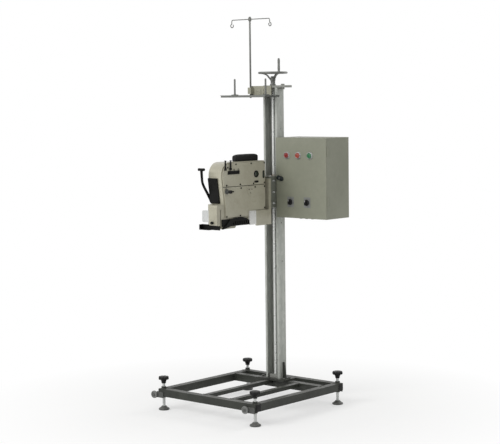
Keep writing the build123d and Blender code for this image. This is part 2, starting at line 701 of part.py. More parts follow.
def head_bracket():
    """Back plate, seat for the head on two webs, shelf for the motor on its web, and the fixing bolts."""
    x_span = (HEAD_LEFT, HEAD_RIGHT)
    back = block(x_span, (BRACKET_FRONT, CARRIAGE_FRONT), (BRACKET_LOW, BRACKET_HIGH))
    seat = block(x_span, (SHELF_FRONT, BRACKET_FRONT), (SHELF_Z - SHELF, SHELF_Z))
    outline = (
        (SHELF_FRONT, SHELF_Z - SHELF),
        (SHELF_FRONT, BRACKET_LOW + WEB_CORNER),
        (SHELF_FRONT + WEB_CORNER, BRACKET_LOW),
        (BRACKET_FRONT, BRACKET_LOW),
        (BRACKET_FRONT, SHELF_Z - SHELF),
    )
    webs = [side_plate(outline, x, x + BRACKET_WEB) for x in (HEAD_LEFT, HEAD_RIGHT - BRACKET_WEB)]
    shelf_low = MOTOR_SEAT - MOTOR_SHELF
    webs.append(block((MOTOR_LEFT, HEAD_LEFT), (MOTOR_Y - MOTOR_R, MOTOR_Y + 22), (shelf_low, MOTOR_SEAT)))
    web_y = (BRACKET_FRONT, BRACKET_FRONT + 10)
    webs.append(block((MOTOR_LEFT + 20, HEAD_LEFT), web_y, (shelf_low - 34, shelf_low)))
    bolts = []
    for x in (COLUMN_X - 22, COLUMN_X + 22):
        for z in (CARRIAGE_Z[0] + 22, CARRIAGE_Z[1] - 22):
            at = (x, z)
            back -= bar("Y", at, CARRIAGE_BOLT_R + 0.5, BRACKET_FRONT - 1, CARRIAGE_FRONT + 1)
            bolt = bar("Y", at, CARRIAGE_BOLT_R, BRACKET_FRONT, CARRIAGE_FRONT)
            bolts.append(bolt + hexagon("Y", at, 21, BRACKET_FRONT - 8, BRACKET_FRONT))
    for x in (HEAD_LEFT + 22, HEAD_RIGHT - 22):
        for y in (SHELF_FRONT + 22, HEAD_REAR - 16):
            seat -= bar("Z", (x, y), SEAT_BOLT_R + 0.3, SHELF_Z - SHELF - 1, SHELF_Z + 1)
            bolt = bar("Z", (x, y), SEAT_BOLT_R, SHELF_Z - SHELF, SHELF_Z)
            bolts.append(bolt + hexagon("Z", (x, y), 17, SHELF_Z - SHELF - 7, SHELF_Z - SHELF))
    return [back, seat] + webs + bolts


# ---------------------------------------------------------------- sewing head
def head_outline(inset=0.0):
    """The head's side view above the seat, as (y, z) points, drawn in by an inset."""
    seat = SHELF_Z + inset
    belly = BELLY_Z + inset
    front = HEAD_FRONT + inset
    return (
        (HEAD_REAR - inset, seat),
        (HEAD_REAR - inset, HEAD_TOP - inset),
        (front, HEAD_TOP - inset),
        (front, GUARD_HIGH),
        (front + GUARD_LEAN, GUARD_LOW),
        (front + GUARD_LEAN, belly),
        (BELLY_REAR - inset, belly),
        (BELLY_REAR - inset, seat),
    )


def needle_tip_rest():
    return SLOT_REAR + THROAT_PLATE


def needle_bar_span():
    """Front and rear ends of the needle bar at rest."""
    front = needle_tip_rest() + NEEDLE_LENGTH
    return front, front + NEEDLE_BAR_LENGTH


def head_housing():
    """The hollow casting: arm, nose and the jaw that hangs in front of the bag slot, with its bearings."""
    body = side_plate(head_outline(), HEAD_LEFT, COVER_X, rounds=((1, 14), (2, HEAD_BROW_R)))
    nose_front = SLOT_REAR
    nose = block((HEAD_LEFT, COVER_X), (nose_front, NOSE_REAR), (NOSE_LOW, BELLY_Z + 1))
    nose = fillet(nose.edges().filter_by(Axis.X).group_by(Axis.Z)[0], 10)
    nose += block((HEAD_LEFT, COVER_X), (nose_front, GUARD_FACE_LOW + 1), (BELLY_Z, JAW_TOP))
    body += nose
    jaw = block((JAW_LEFT, HEAD_RIGHT), (JAW_FRONT, nose_front + 1), (JAW_LOW, JAW_TOP))
    jaw = fillet(jaw.edges().filter_by(Axis.X).group_by(Axis.Y)[0], 12)
    jaw -= block((JAW_LEFT - 1, HEAD_RIGHT + 1), (SLOT_FRONT, nose_front), (JAW_LOW - 1, SLOT_TOP))
    jaw -= block((JAW_LEFT - 1, HEAD_RIGHT + 1), (nose_front - 0.5, nose_front + 2), (JAW_LOW - 1, SLOT_TOP))
    body += jaw
    inner_x = (HEAD_LEFT + HEAD_WALL, COVER_X + 1)
    cavity = side_plate(head_outline(HEAD_WALL), *inner_x, rounds=((2, HEAD_BROW_R - HEAD_WALL),))
    body -= cavity
    at = (MAIN_SHAFT_Y, MAIN_SHAFT_Z)
    body += bar("X", at, BEARING_OUTER_R + 6, HEAD_LEFT, HEAD_LEFT + BEARING_BOSS)
    body = head_bores(body)
    bearings = []
    for low in (HEAD_LEFT, HEAD_LEFT + BEARING_BOSS - BEARING_WIDTH):
        bearings.append(
            ring("X", at, BEARING_OUTER_R, MAIN_SHAFT_R + RUN_CLEARANCE, low, low + BEARING_WIDTH)
        )
    return [body] + bearings


def head_bores(body):
    """Cut what the shafts, the needle bar, the looper and the presser need."""
    body -= bar(
        "X",
        (MAIN_SHAFT_Y, MAIN_SHAFT_Z),
        BEARING_OUTER_R,
        HEAD_LEFT - 1,
        HEAD_LEFT + BEARING_BOSS + 1,
    )
    pocket_half = CLAMP_R + 4
    needle_y = (SLOT_REAR + THROAT_PLATE, GUARD_FACE_LOW + HEAD_WALL + 1)
    needle_z = (NEEDLE_Z - pocket_half, NEEDLE_Z + pocket_half)
    body -= block((NEEDLE_X - pocket_half, NEEDLE_X + pocket_half), needle_y, needle_z)
    plate_z = (NEEDLE_Z - 46, NEEDLE_Z + 24)
    body -= block(
        (HEAD_LEFT + THROAT_MARGIN, COVER_X - THROAT_MARGIN),
        (SLOT_REAR - 1, SLOT_REAR + THROAT_PLATE),
        plate_z,
    )
    pocket_x = (JAW_LEFT + 10, LOOPER_X + 8)
    body -= block(pocket_x, (JAW_FRONT + POCKET_WALL, SLOT_FRONT + 1), LOOPER_Z)
    body -= bar("Y", (NEEDLE_X, PRESSER_Z), PRESSER_ROD_R + RUN_CLEARANCE, JAW_FRONT - 1, SLOT_FRONT + 1)
    body -= bar("X", LEVER_PIVOT, LEVER_PIN_R, HEAD_LEFT - 1, HEAD_LEFT + HEAD_WALL + 1)
    feed_x = (NEEDLE_X - FEED_LENGTH / 2 - FEED_STROKE - 2, NEEDLE_X + FEED_LENGTH / 2 + 2)
    feed_z = (PRESSER_Z - FEED_HEIGHT / 2 - 2, PRESSER_Z + FEED_HEIGHT / 2 + 2)
    body -= block(feed_x, (SLOT_REAR + THROAT_PLATE - 1, SLOT_REAR + THROAT_PLATE + 14), feed_z)
    return body


def head_cover():
    """The two covers on the operator's right: the arm's and the lower one, with a seam between."""
    pieces = []
    for z_span in ((BELLY_Z, COVER_SEAM_Z), (COVER_SEAM_Z + COVER_SEAM, HEAD_TOP)):
        full = side_plate(
            head_outline(COVER_INSET),
            COVER_X,
            HEAD_RIGHT,
            rounds=((2, HEAD_BROW_R - COVER_INSET),),
        )
        piece = full & block((COVER_X, HEAD_RIGHT), (HEAD_FRONT, HEAD_REAR), z_span)
        pieces.append(piece)
    return pieces


def oil_windows():
    """The round oil sight glass, the level gauge and the filler cap on the covers."""
    face = HEAD_RIGHT
    glass = bar("X", WINDOW_YZ, WINDOW_R, face, face + 3)
    glass += bar("X", WINDOW_YZ, WINDOW_R - 5, face, face + 4.5)
    half_y, half_z = GAUGE_SIZE[0] / 2, GAUGE_SIZE[1] / 2
    y, z = GAUGE_YZ
    gauge = block((face, face + 3), (y - half_y, y + half_y), (z - half_z, z + half_z))
    gauge = ease(gauge, Axis.X, half_y - 1)
    y, z = CAP_YZ
    cap = block((face, face + 6), (y - 15, y + 15), (z - 5.5, z + 5.5))
    return [glass, gauge, ease(cap, Axis.X, 5)]


def carry_handle():
    half = HANDLE_WIDTH / 2
    grip = block((HANDLE_X - half, HANDLE_X + half), HANDLE_Y, (HEAD_TOP, HEAD_TOP + HANDLE_HEIGHT))
    grip = fillet(grip.edges().filter_by(Axis.X).group_by(Axis.Z)[-1], 9)
    grip = fillet(grip.edges().filter_by(Axis.Y).group_by(Axis.Z)[-1], 7)
    recess_y = (HANDLE_Y[0] + 26, HANDLE_Y[1] - 26)
    recess_z = (HEAD_TOP + 6, HEAD_TOP + 18)
    for x_span in ((HANDLE_X - half - 1, HANDLE_X - half + 4), (HANDLE_X + half - 4, HANDLE_X + half + 1)):
        grip -= block(x_span, recess_y, recess_z)
    return [grip]


def needle_guard():
    """The leaning plate over the needle bar's drive, with turned-back edges."""
    outline = (
        (HEAD_FRONT - GUARD_THICK, GUARD_HIGH),
        (HEAD_FRONT, GUARD_HIGH),
        (GUARD_FACE_LOW, GUARD_LOW),
        (GUARD_FACE_LOW - GUARD_THICK, GUARD_LOW),
    )
    return [side_plate(outline, HEAD_LEFT, GUARD_RIGHT, rounds=((0, 4),))]


def presser_lever():
    """A cranked hand lever on its pin, with a finger pad at the top."""
    x_span = (HEAD_LEFT - LEVER_GAP - LEVER_THICK, HEAD_LEFT - LEVER_GAP)
    lever = bar("X", LEVER_PIVOT, LEVER_WIDTH * 0.62, *x_span)
    for start, end in ((LEVER_PIVOT, LEVER_BEND), (LEVER_BEND, LEVER_TIP)):
        run = hypot(end[0] - start[0], end[1] - start[1])
        side = ((end[1] - start[1]) / run * LEVER_WIDTH / 2, -(end[0] - start[0]) / run * LEVER_WIDTH / 2)
        corners = (
            (start[0] + side[0], start[1] + side[1]),
            (end[0] + side[0], end[1] + side[1]),
            (end[0] - side[0], end[1] - side[1]),
            (start[0] - side[0], start[1] - side[1]),
        )
        lever += side_plate(corners, *x_span)
        lever += bar("X", end, LEVER_WIDTH / 2, *x_span)
    lever += bar("X", LEVER_TIP, LEVER_WIDTH / 2, x_span[0] - LEVER_PAD, x_span[1] + LEVER_PAD)
    lever += bar("X", LEVER_PIVOT, LEVER_PIN_R - RUN_CLEARANCE, x_span[1] - 1, HEAD_LEFT + HEAD_WALL)
    return [lever]


def presser_foot():
    """The shoe in the slot, its curled tail towards the outlet, and the rod through the jaw."""
    shoe_y = (SLOT_FRONT + PART_GAP, SLOT_FRONT + PART_GAP + SHOE_THICK)
    shoe = block((JAW_LEFT, SHOE_RIGHT), shoe_y, (SHOE_LOW, SHOE_HIGH))
    shoe += block((SHOE_LEFT, JAW_LEFT + 1), shoe_y, (SHOE_LOW, SHOE_TAIL_HIGH))
    tail = block(
        (SHOE_LEFT, SHOE_LEFT + SHOE_THICK),
        (shoe_y[0] - SHOE_LIP, shoe_y[1]),
        (SHOE_LOW, SHOE_TAIL_HIGH),
    )
    shoe += tail
    shoe += block(
        (SHOE_LEFT, JAW_LEFT - 2),
        (shoe_y[0] - SHOE_LIP, shoe_y[0] + 1),
        (SHOE_LOW, SHOE_LOW + SHOE_THICK),
    )
    shoe += bar("Y", (NEEDLE_X, PRESSER_Z), PRESSER_ROD_R, JAW_FRONT - 8, shoe_y[0] + 1)
    shoe += bar("Y", (NEEDLE_X, PRESSER_Z), PRESSER_ROD_R + 3, JAW_FRONT - 12, JAW_FRONT - PRESSER_LIFT)
    return [shoe]


def needle_bar():
    """Bar, clamp, needle and the slotted yoke that the crank drives."""
    at = (NEEDLE_X, NEEDLE_Z)
    front, rear = needle_bar_span()
    pieces = bar("Y", at, NEEDLE_BAR_R, front + CLAMP_LENGTH - 2, rear)
    pieces += bar("Y", at, CLAMP_R, front, front + CLAMP_LENGTH)
    needle = bar("Y", at, NEEDLE_R, front - NEEDLE_LENGTH + 5, front + 1)
    needle += Pos(at[0], front - NEEDLE_LENGTH + 2.5, at[1]) * Rot(90, 0, 0) * Cone(NEEDLE_R, 0.3, 5)
    throw = NEEDLE_STROKE / 2
    slot_half = CRANK_PIN_R + CRANK_SLACK
    middle = MAIN_SHAFT_Y + throw
    x_span = (crank_x()[1] + PART_GAP, crank_x()[1] + PART_GAP + YOKE_THICK)
    slot_z = (MAIN_SHAFT_Z - throw - slot_half, MAIN_SHAFT_Z + throw + slot_half)
    yoke = block(
        x_span,
        (middle - slot_half - YOKE_RIM, middle + slot_half + YOKE_RIM),
        (slot_z[0] - YOKE_RIM, slot_z[1] + YOKE_RIM),
    )
    arm_y = (rear - 12, middle + slot_half + YOKE_RIM)
    yoke += block(
        x_span,
        (middle - slot_half - YOKE_RIM, middle + slot_half + YOKE_RIM),
        (NEEDLE_Z - NEEDLE_BAR_R, slot_z[0]),
    )
    yoke += block(x_span, arm_y, (NEEDLE_Z - NEEDLE_BAR_R, NEEDLE_Z + NEEDLE_BAR_R))
    yoke -= block((x_span[0] - 1, x_span[1] + 1), (middle - slot_half, middle + slot_half), slot_z)
    return [pieces + yoke, needle]


def crank_x():
    """Near and far faces of the crank disc, beside the needle bar."""
    far = NEEDLE_X - YOKE_THICK / 2 - PART_GAP
    return far - CRANK_THICK, far


def main_shaft():
    """Shaft, crank disc with its pin, and the grooved pulley outside the housing."""
    at = (MAIN_SHAFT_Y, MAIN_SHAFT_Z)
    near, far = crank_x()
    shaft = bar("X", at, MAIN_SHAFT_R, PULLEY_LEFT - 4, near + 1)
    shaft += bar("X", at, CRANK_R, near, far)
    shaft += bar("X", at, MAIN_SHAFT_R + 5, HEAD_LEFT + BEARING_BOSS + PART_GAP, near)
    pin = (MAIN_SHAFT_Y + NEEDLE_STROKE / 2, MAIN_SHAFT_Z)
    shaft += bar("X", pin, CRANK_PIN_R, far - 1, far + PART_GAP + YOKE_THICK + 3)
    return [shaft, grooved_pulley(at, HEAD_PULLEY_R, MAIN_SHAFT_R, PULLEY_LEFT, PULLEY_RIGHT)]


def grooved_pulley(at, radius, bore, low, high):
    wheel = bar("X", at, radius, low, high)
    middle = (low + high) / 2
    half = BELT_WIDTH / 2 + 1
    wheel -= ring("X", at, radius + 1, radius - PULLEY_GROOVE, middle - half, middle + half)
    if radius > HEAD_PULLEY_R - 1:
        for x_span in ((low - 1, low + 4), (high - 4, high + 1)):
            wheel -= ring("X", at, radius - 11, bore + 8, *x_span)
    return wheel - bar("X", at, bore, low - 1, high + 1)


def throat_plate():
    """The steel plate on the nose, with the needle hole and the feed slot."""
    z_span = (NEEDLE_Z - 46, NEEDLE_Z + 24)
    plate = block(
        (HEAD_LEFT + THROAT_MARGIN, COVER_X - THROAT_MARGIN), (SLOT_REAR, SLOT_REAR + THROAT_PLATE), z_span
    )
    plate -= bar("Y", (NEEDLE_X, NEEDLE_Z), 2.5, SLOT_REAR - 1, SLOT_REAR + THROAT_PLATE + 1)
    slot_x = (NEEDLE_X - FEED_LENGTH / 2 - FEED_STROKE - 1, NEEDLE_X + FEED_LENGTH / 2 + 1)
    slot_z = (PRESSER_Z - FEED_HEIGHT / 2 - 0.5, PRESSER_Z + FEED_HEIGHT / 2 + 0.5)
    plate -= block(slot_x, (SLOT_REAR - 1, SLOT_REAR + THROAT_PLATE + 1), slot_z)
    return [plate]


def feed_dog():
    """A toothed bar behind the throat plate; its teeth stand through the slot."""
    x_span = (NEEDLE_X - FEED_LENGTH / 2, NEEDLE_X + FEED_LENGTH / 2)
    z_span = (PRESSER_Z - FEED_HEIGHT / 2, PRESSER_Z + FEED_HEIGHT / 2)
    dog = block(x_span, (SLOT_REAR - FEED_STAND, SLOT_REAR + THROAT_PLATE + 10), z_span)
    pitch = FEED_LENGTH / FEED_TEETH
    for count in range(FEED_TEETH - 1):
        x = x_span[0] + pitch * (count + 1)
        notch = Pos(x, SLOT_REAR - FEED_STAND, PRESSER_Z) * Rot(0, 0, 45) * Box(1.6, 1.6, FEED_HEIGHT + 1)
        dog -= notch
    return [dog]


def looper():
    """A thin hook on an upright rod in the jaw's pocket."""
    y = (JAW_FRONT + POCKET_WALL + SLOT_FRONT) / 2
    low, high = LOOPER_Z
    hook = bar("Z", (LOOPER_X, y), LOOPER_ROD_R, low + 0.3, high - 0.3)
    arm_x = (LOOPER_X - LOOPER_ARM, LOOPER_X)
    hook += block(arm_x, (y - 1.5, y + 1.5), (NEEDLE_Z + 3, NEEDLE_Z + 8))
    return [hook]


def feed_guard():
    """The arched black guard beside the bag's way in, with its row of slots."""
    x_span = (HEAD_RIGHT, HEAD_RIGHT + FEED_GUARD_THICK)
    top = FEED_GUARD_TOP
    low = NOSE_LOW
    front = SLOT_REAR + 2
    rear = FEED_GUARD_REAR
    rise = low + FEED_GUARD_RISE
    outline = (
        (front, low), (front, low + 7), (front + 24, rise + 4), (front + 57, top - 10),
        (front + 104, top - 1), (rear - 61, top), (rear - 31, top - 6), (rear - 4, top - 20), (rear, rise), (front + 60, rise),
    )
    guard = side_plate(outline, *x_span, rounds=((3, 14), (6, 20)))
    for count in range(FEED_GUARD_SLOTS):
        y = rear - 16 - FEED_GUARD_PITCH * count
        high = 12 if count in (0, FEED_GUARD_SLOTS - 1) else 18
        guard -= ease(
            block((x_span[1] - 4, x_span[1] + 1), (y, y + 9), (rise + 6, rise + 6 + high)),
            Axis.X,
            3,
        )
    guard += block((COVER_X, HEAD_RIGHT), (SLOT_REAR + 4, NOSE_REAR), (NOSE_LOW + 14, BELLY_Z))
    return [guard]


def guard_holder():
    """The bright plate between the feed guard's end and the bracket, with its two screws."""
    y_span = (FEED_GUARD_REAR, GUARD_HOLDER_REAR)
    x_span = (HEAD_RIGHT, HEAD_RIGHT + GUARD_HOLDER_THICK)
    plate = ease(block(x_span, y_span, GUARD_HOLDER_Z), Axis.X, 4)
    for y in (y_span[0] + 12, y_span[1] - 12):
        plate += bar("X", (y, GUARD_HOLDER_Z[1] - 12), 5, x_span[1] - 1, x_span[1] + 3)
    return [plate]


def tension_post():
    """Thread tension: a post with two dished discs and a spring cup; and the two upright thread posts."""
    face = HEAD_RIGHT
    post = bar("X", TENSION_YZ, TENSION_POST_R, face, face + TENSION_POST_LENGTH)
    post += bar("X", TENSION_YZ, 8, face, face + 4)
    pieces = [post]
    for start in (face + 4, face + 8):
        pieces.append(ring("X", TENSION_YZ, TENSION_DISC_R, TENSION_POST_R, start, start + 2.5))
    pieces.append(ring("X", TENSION_YZ, 7, TENSION_POST_R, face + 10.5, face + 22))
    for y in THREAD_POSTS_Y:
        foot = block((face, face + 9), (y - 6, y + 6), (THREAD_POST_Z, THREAD_POST_Z + 12))
        foot += bar("Z", (face + 4.5, y), THREAD_POST_R, THREAD_POST_Z, THREAD_POST_TOP)
        foot += bar("Z", (face + 4.5, y), THREAD_POST_R + 1.5, THREAD_POST_TOP - 3, THREAD_POST_TOP)
        pieces.append(foot)
    strip_y = (TENSION_YZ[0] + TENSION_DISC_R + 1, TENSION_YZ[0] + TENSION_DISC_R + 1 + THREAD_STRIP[0])
    strip_z = (TENSION_YZ[1] - THREAD_STRIP[1], TENSION_YZ[1])
    pieces.append(block((face, face + 4), strip_y, strip_z))
    pieces.append(block((face, face + 4), THREAD_BAR_Y, THREAD_BAR_Z))
    return pieces


def tension_knob():
    start = HEAD_RIGHT + 22 + PART_GAP
    knob = bar("X", TENSION_YZ, TENSION_KNOB_R, start, start + TENSION_KNOB_LENGTH)
    knob = fillet(knob.edges().filter_by(GeomType.CIRCLE), 1.5)
    end = start + TENSION_KNOB_LENGTH
    return [knob - bar("X", TENSION_YZ, TENSION_POST_R + RUN_CLEARANCE, start - 1, end + 1)]


def thread_cutter():
    """The bright block with the chain cutter, on the jaw's outlet side."""
    y_span = (JAW_FRONT + 2, JAW_FRONT + 2 + CUTTER_DEPTH)
    body = block((CUTTER_LEFT, JAW_LEFT), y_span, (CUTTER_LOW, CUTTER_HIGH))
    body = fillet(body.edges().filter_by(Axis.Y).group_by(Axis.X)[0], 8)
    knife = block(
        (CUTTER_LEFT + 6, JAW_LEFT - 6),
        (y_span[1], y_span[1] + 2),
        (CUTTER_LOW + 4, CUTTER_LOW + 22),
    )
    return [body, knife]


def motor():
    """A small foot-mounted motor with end shields, fins and a terminal box."""
    at = (MOTOR_Y, MOTOR_Z)
    shell = bar("X", at, MOTOR_R - 4, MOTOR_LEFT + 8, MOTOR_RIGHT - 6)
    for count in range(18):
        angle = 360 / 18 * count
        fin = Pos((MOTOR_LEFT + MOTOR_RIGHT) / 2, MOTOR_Y, MOTOR_Z) * Rot(angle, 0, 0)
        fin = fin * Pos(0, 0, MOTOR_R - 5) * Box(MOTOR_LENGTH - 40, 3, 8)
        shell += fin
    shell += bar("X", at, MOTOR_R, MOTOR_RIGHT - 14, MOTOR_RIGHT)
    shell += bar("X", at, MOTOR_R, MOTOR_LEFT, MOTOR_LEFT + 20)
    feet = block(
        (MOTOR_LEFT + 26, MOTOR_RIGHT - 20),
        (MOTOR_Y - 46, MOTOR_Y + 20),
        (MOTOR_SEAT, MOTOR_SEAT + MOTOR_FOOT),
    )
    feet += block(
        (MOTOR_LEFT + 30, MOTOR_RIGHT - 24),
        (MOTOR_Y - 30, MOTOR_Y + 14),
        (MOTOR_SEAT, MOTOR_Z - MOTOR_R + 12),
    )
    shell += feet
    shell -= bar("X", at, MOTOR_SHAFT_R + 1, MOTOR_RIGHT - 15, MOTOR_RIGHT + 1)
    terminal = block(
        (MOTOR_LEFT + 34, MOTOR_LEFT + 84), (MOTOR_Y - 24, MOTOR_Y + 24), (
            MOTOR_Z + MOTOR_R - 6,
            MOTOR_Z + MOTOR_R + 20,
        )
    )
    return [shell, ease(terminal - bar("X", at, MOTOR_R, MOTOR_LEFT, MOTOR_RIGHT), Axis.Z, 5)]


def motor_pulley():
    at = (MOTOR_Y, MOTOR_Z)
    shaft = bar("X", at, MOTOR_SHAFT_R, MOTOR_RIGHT - 14, PULLEY_RIGHT + 1)
    return [shaft, grooved_pulley(at, MOTOR_PULLEY_R, MOTOR_SHAFT_R, PULLEY_LEFT, PULLEY_RIGHT)]


def belt_outline(grow):
    """The belt's path round both pulleys as a face, grown outwards by an amount."""
    big = HEAD_PULLEY_R - PULLEY_GROOVE + grow
    small = MOTOR_PULLEY_R - PULLEY_GROOVE + grow
    start = Vector(MAIN_SHAFT_Y, MAIN_SHAFT_Z)
    end = Vector(MOTOR_Y, MOTOR_Z)
    span = (end - start).length
    along = (end - start).normalized()
    across = Vector(-along.Y, along.X)
    lean = (big - small) / span
    rise = (1 - lean * lean) ** 0.5
    upper = along * lean + across * rise
    lower = along * lean - across * rise
    quad = Polyline(
        start + upper * big,
        end + upper * small,
        end + lower * small,
        start + lower * big,
        close=True,
    )
    face = make_face(quad)
    face += Pos(start.X, start.Y) * Circle(big)
    face += Pos(end.X, end.Y) * Circle(small)
    return face


def drive_belt():
    middle = (PULLEY_LEFT + PULLEY_RIGHT) / 2
    face = belt_outline(BELT_GAP + BELT_THICK) - belt_outline(BELT_GAP)
    return [Plane.YZ.offset(middle - BELT_WIDTH / 2) * extrude(face, BELT_WIDTH)]


# ---------------------------------------------------------------- thread stand
def stand_bolt_places():
    """Places (x, z) of the bolts that hold the stand's plate on the column's left lip."""
    x = COLUMN_LEFT + COLUMN_LIP / 2
    return [(x, STAND_PLATE_Z[0] + 11), (x, STAND_PLATE_Z[0] + 29)]


def stand_bracket():
    """A flat plate on the column's left lip with the block that clamps the guide rod."""
    y_span = (COLUMN_FRONT - STAND_PLATE, COLUMN_FRONT)
    plate = block((ROD_X - 14, STAND_PLATE_RIGHT), y_span, STAND_PLATE_Z)
    half = CLAMP_BLOCK / 2
    clamp_z = (STAND_PLATE_Z[0] + 8, STAND_PLATE_Z[1] - 8)
    clamp = block((ROD_X - half, ROD_X + half), (ROD_Y - half, ROD_Y + half), clamp_z)
    clamp -= bar("Z", (ROD_X, ROD_Y), ROD_R, clamp_z[0] - 1, clamp_z[1] + 1)
    bolts = []
    for place in stand_bolt_places():
        plate -= bar("Y", place, STAND_BOLT_R + 0.3, y_span[0] - 1, y_span[1] + 1)
        bolt = bar("Y", place, STAND_BOLT_R, y_span[0], COLUMN_FRONT + COLUMN_WALL)
        bolts.append(bolt + hexagon("Y", place, 11, y_span[0] - 4, y_span[0]))
    return [plate, clamp] + bolts


def thread_tray():
    """The sheet tray for the thread cones, hung from the bracket by its rear upstand."""
    rear = ROD_Y + CLAMP_BLOCK / 2
    top = TRAY_Z + TRAY_SHEET
    tray = block((TRAY_LEFT, TRAY_RIGHT), (TRAY_FRONT, rear), (TRAY_Z, top))
    tray = ease(tray, Axis.Z, 8)
    tray += block(
        (TRAY_LEFT + 10, TRAY_RIGHT - 10),
        (TRAY_FRONT, TRAY_FRONT + TRAY_SHEET),
        (TRAY_Z - TRAY_LIP, top),
    )
    tray += block((TRAY_LEFT + 10, TRAY_RIGHT - 10), (rear - TRAY_SHEET, rear), (TRAY_Z - TRAY_LIP, top))
    tray += block(
        (COLUMN_LEFT - 40, COLUMN_LEFT - 8),
        (rear - TRAY_SHEET, rear),
        (TRAY_Z, TRAY_Z + TRAY_UPSTAND),
    )
    tray -= bar("Z", (ROD_X, ROD_Y), ROD_R + 0.4, TRAY_Z - 1, top + 1)
    return [tray]


def thread_guide():
    """The upright rod and the bent cross wire with an eye at each end."""
    rod = bar("Z", (ROD_X, ROD_Y), ROD_R, ROD_FOOT, ROD_TOP)
    wire = bar("X", (ROD_Y, WIRE_Z), WIRE_R, WIRE_ENDS_X[0], WIRE_ENDS_X[1])
    for x in WIRE_ENDS_X:
        wire += Pos(x, ROD_Y, WIRE_Z) * Sphere(WIRE_R)
        wire += bar("Z", (x, ROD_Y), WIRE_R, WIRE_Z - EYE_DROP, WIRE_Z)
        wire += Pos(x, ROD_Y, WIRE_Z - EYE_DROP - EYE_R) * Rot(90, 0, 0) * Torus(EYE_R, WIRE_R)
    return [rod + wire]


def cone_spindles():
    top = TRAY_Z + TRAY_SHEET
    spindles = []
    for x in SPINDLES_X:
        at = (x, SPINDLE_Y)
        spindle = bar("Z", at, SPINDLE_BASE_R, top, top + SPINDLE_BASE)
        pin = bar("Z", at, SPINDLE_R, top, top + SPINDLE_BASE + SPINDLE_HEIGHT)
        spindles.append(spindle + chamfer(pin.edges().sort_by(Axis.Z)[-1], 2.5))
    return spindles


# ---------------------------------------------------------------- control box
def control_box():
    """The case: five walls and a turned-in lip round the front."""
    outer = block((BOX_LEFT, BOX_RIGHT), (BODY_FRONT, BOX_REAR), (BOX_LOW, BOX_HIGH))
    inner_x = (BOX_LEFT + SHEET, BOX_RIGHT - SHEET)
    inner_z = (BOX_LOW + SHEET, BOX_HIGH - SHEET)
    case = outer - block(inner_x, (BODY_FRONT + SHEET, BOX_REAR - SHEET), inner_z)
    mouth_x = (BOX_LEFT + BOX_LIP, BOX_RIGHT - BOX_LIP)
    case -= block(mouth_x, (BODY_FRONT - 1, BODY_FRONT + SHEET + 1), (BOX_LOW + BOX_LIP, BOX_HIGH - BOX_LIP))
    for z in HINGES_Z:
        case -= bar(
            "Z",
            (BOX_RIGHT, DOOR_REAR + DOOR_GAP / 2),
            HINGE_R + 0.5,
            z - HINGE_LENGTH,
            z + HINGE_LENGTH,
        )
    for place in strap_bolt_places():
        case -= bar("X", place, STRAP_BOLT_R + 0.3, BOX_LEFT - 1, BOX_LEFT + SHEET + 1)
    for x in GLANDS_X:
        case -= bar("Z", (x, gland_y()), GLAND_R - 2, BOX_LOW - 1, BOX_LOW + SHEET + 1)
    return [case]


def gland_y():
    return (BODY_FRONT + BOX_REAR) / 2 + 20


def door_holes():
    """Places (x, z) of the round holes for buttons and selectors."""
    return [(x, BUTTON_Z) for x in BUTTONS_X] + [(x, SELECTOR_Z) for x in SELECTORS_X]


def control_box_door():
    """The shallow door pan with its hinge knuckles."""
    pan = block((BOX_LEFT, BOX_RIGHT), (BOX_FRONT, DOOR_REAR), (BOX_LOW, BOX_HIGH))
    pan = fillet(pan.edges().group_by(Axis.Y)[0], 2)
    inner_x = (BOX_LEFT + SHEET, BOX_RIGHT - SHEET)
    inner_z = (BOX_LOW + SHEET, BOX_HIGH - SHEET)
    pan -= block(inner_x, (BOX_FRONT + SHEET, DOOR_REAR + 1), inner_z)
    for place in door_holes():
        pan -= bar("Y", place, BARREL_R, BOX_FRONT - 1, BOX_FRONT + SHEET + 1)
    pan -= bar("Y", (LATCH_X, LATCH_Z), LATCH_SHAFT_R + RUN_CLEARANCE, BOX_FRONT - 1, BOX_FRONT + SHEET + 1)
    axis = (BOX_RIGHT, DOOR_REAR + DOOR_GAP / 2)
    for z in HINGES_Z:
        pan -= bar("Z", axis, HINGE_R + 0.5, z - HINGE_LENGTH - 0.3, z)
        knuckle = bar("Z", axis, HINGE_R, z + 0.3, z + HINGE_LENGTH)
        pan += knuckle
        pan -= bar("Z", axis, HINGE_PIN_R + RUN_CLEARANCE, z - HINGE_LENGTH, z + HINGE_LENGTH + 1)
    return [pan]


def door_seal():
    """A rubber frame inside the door that meets the case's lip."""
    outer_x = (BOX_LEFT + SHEET + 1, BOX_RIGHT - SHEET - 4)
    outer_z = (BOX_LOW + SHEET + 1, BOX_HIGH - SHEET - 1)
    y_span = (BOX_FRONT + SHEET, DOOR_REAR)
    inner_x = (outer_x[0] + SEAL_WIDTH, outer_x[1] - SEAL_WIDTH)
    inner_z = (outer_z[0] + SEAL_WIDTH, outer_z[1] - SEAL_WIDTH)
    return [block(outer_x, y_span, outer_z) - block(inner_x, (y_span[0] - 1, y_span[1] + 1), inner_z)]


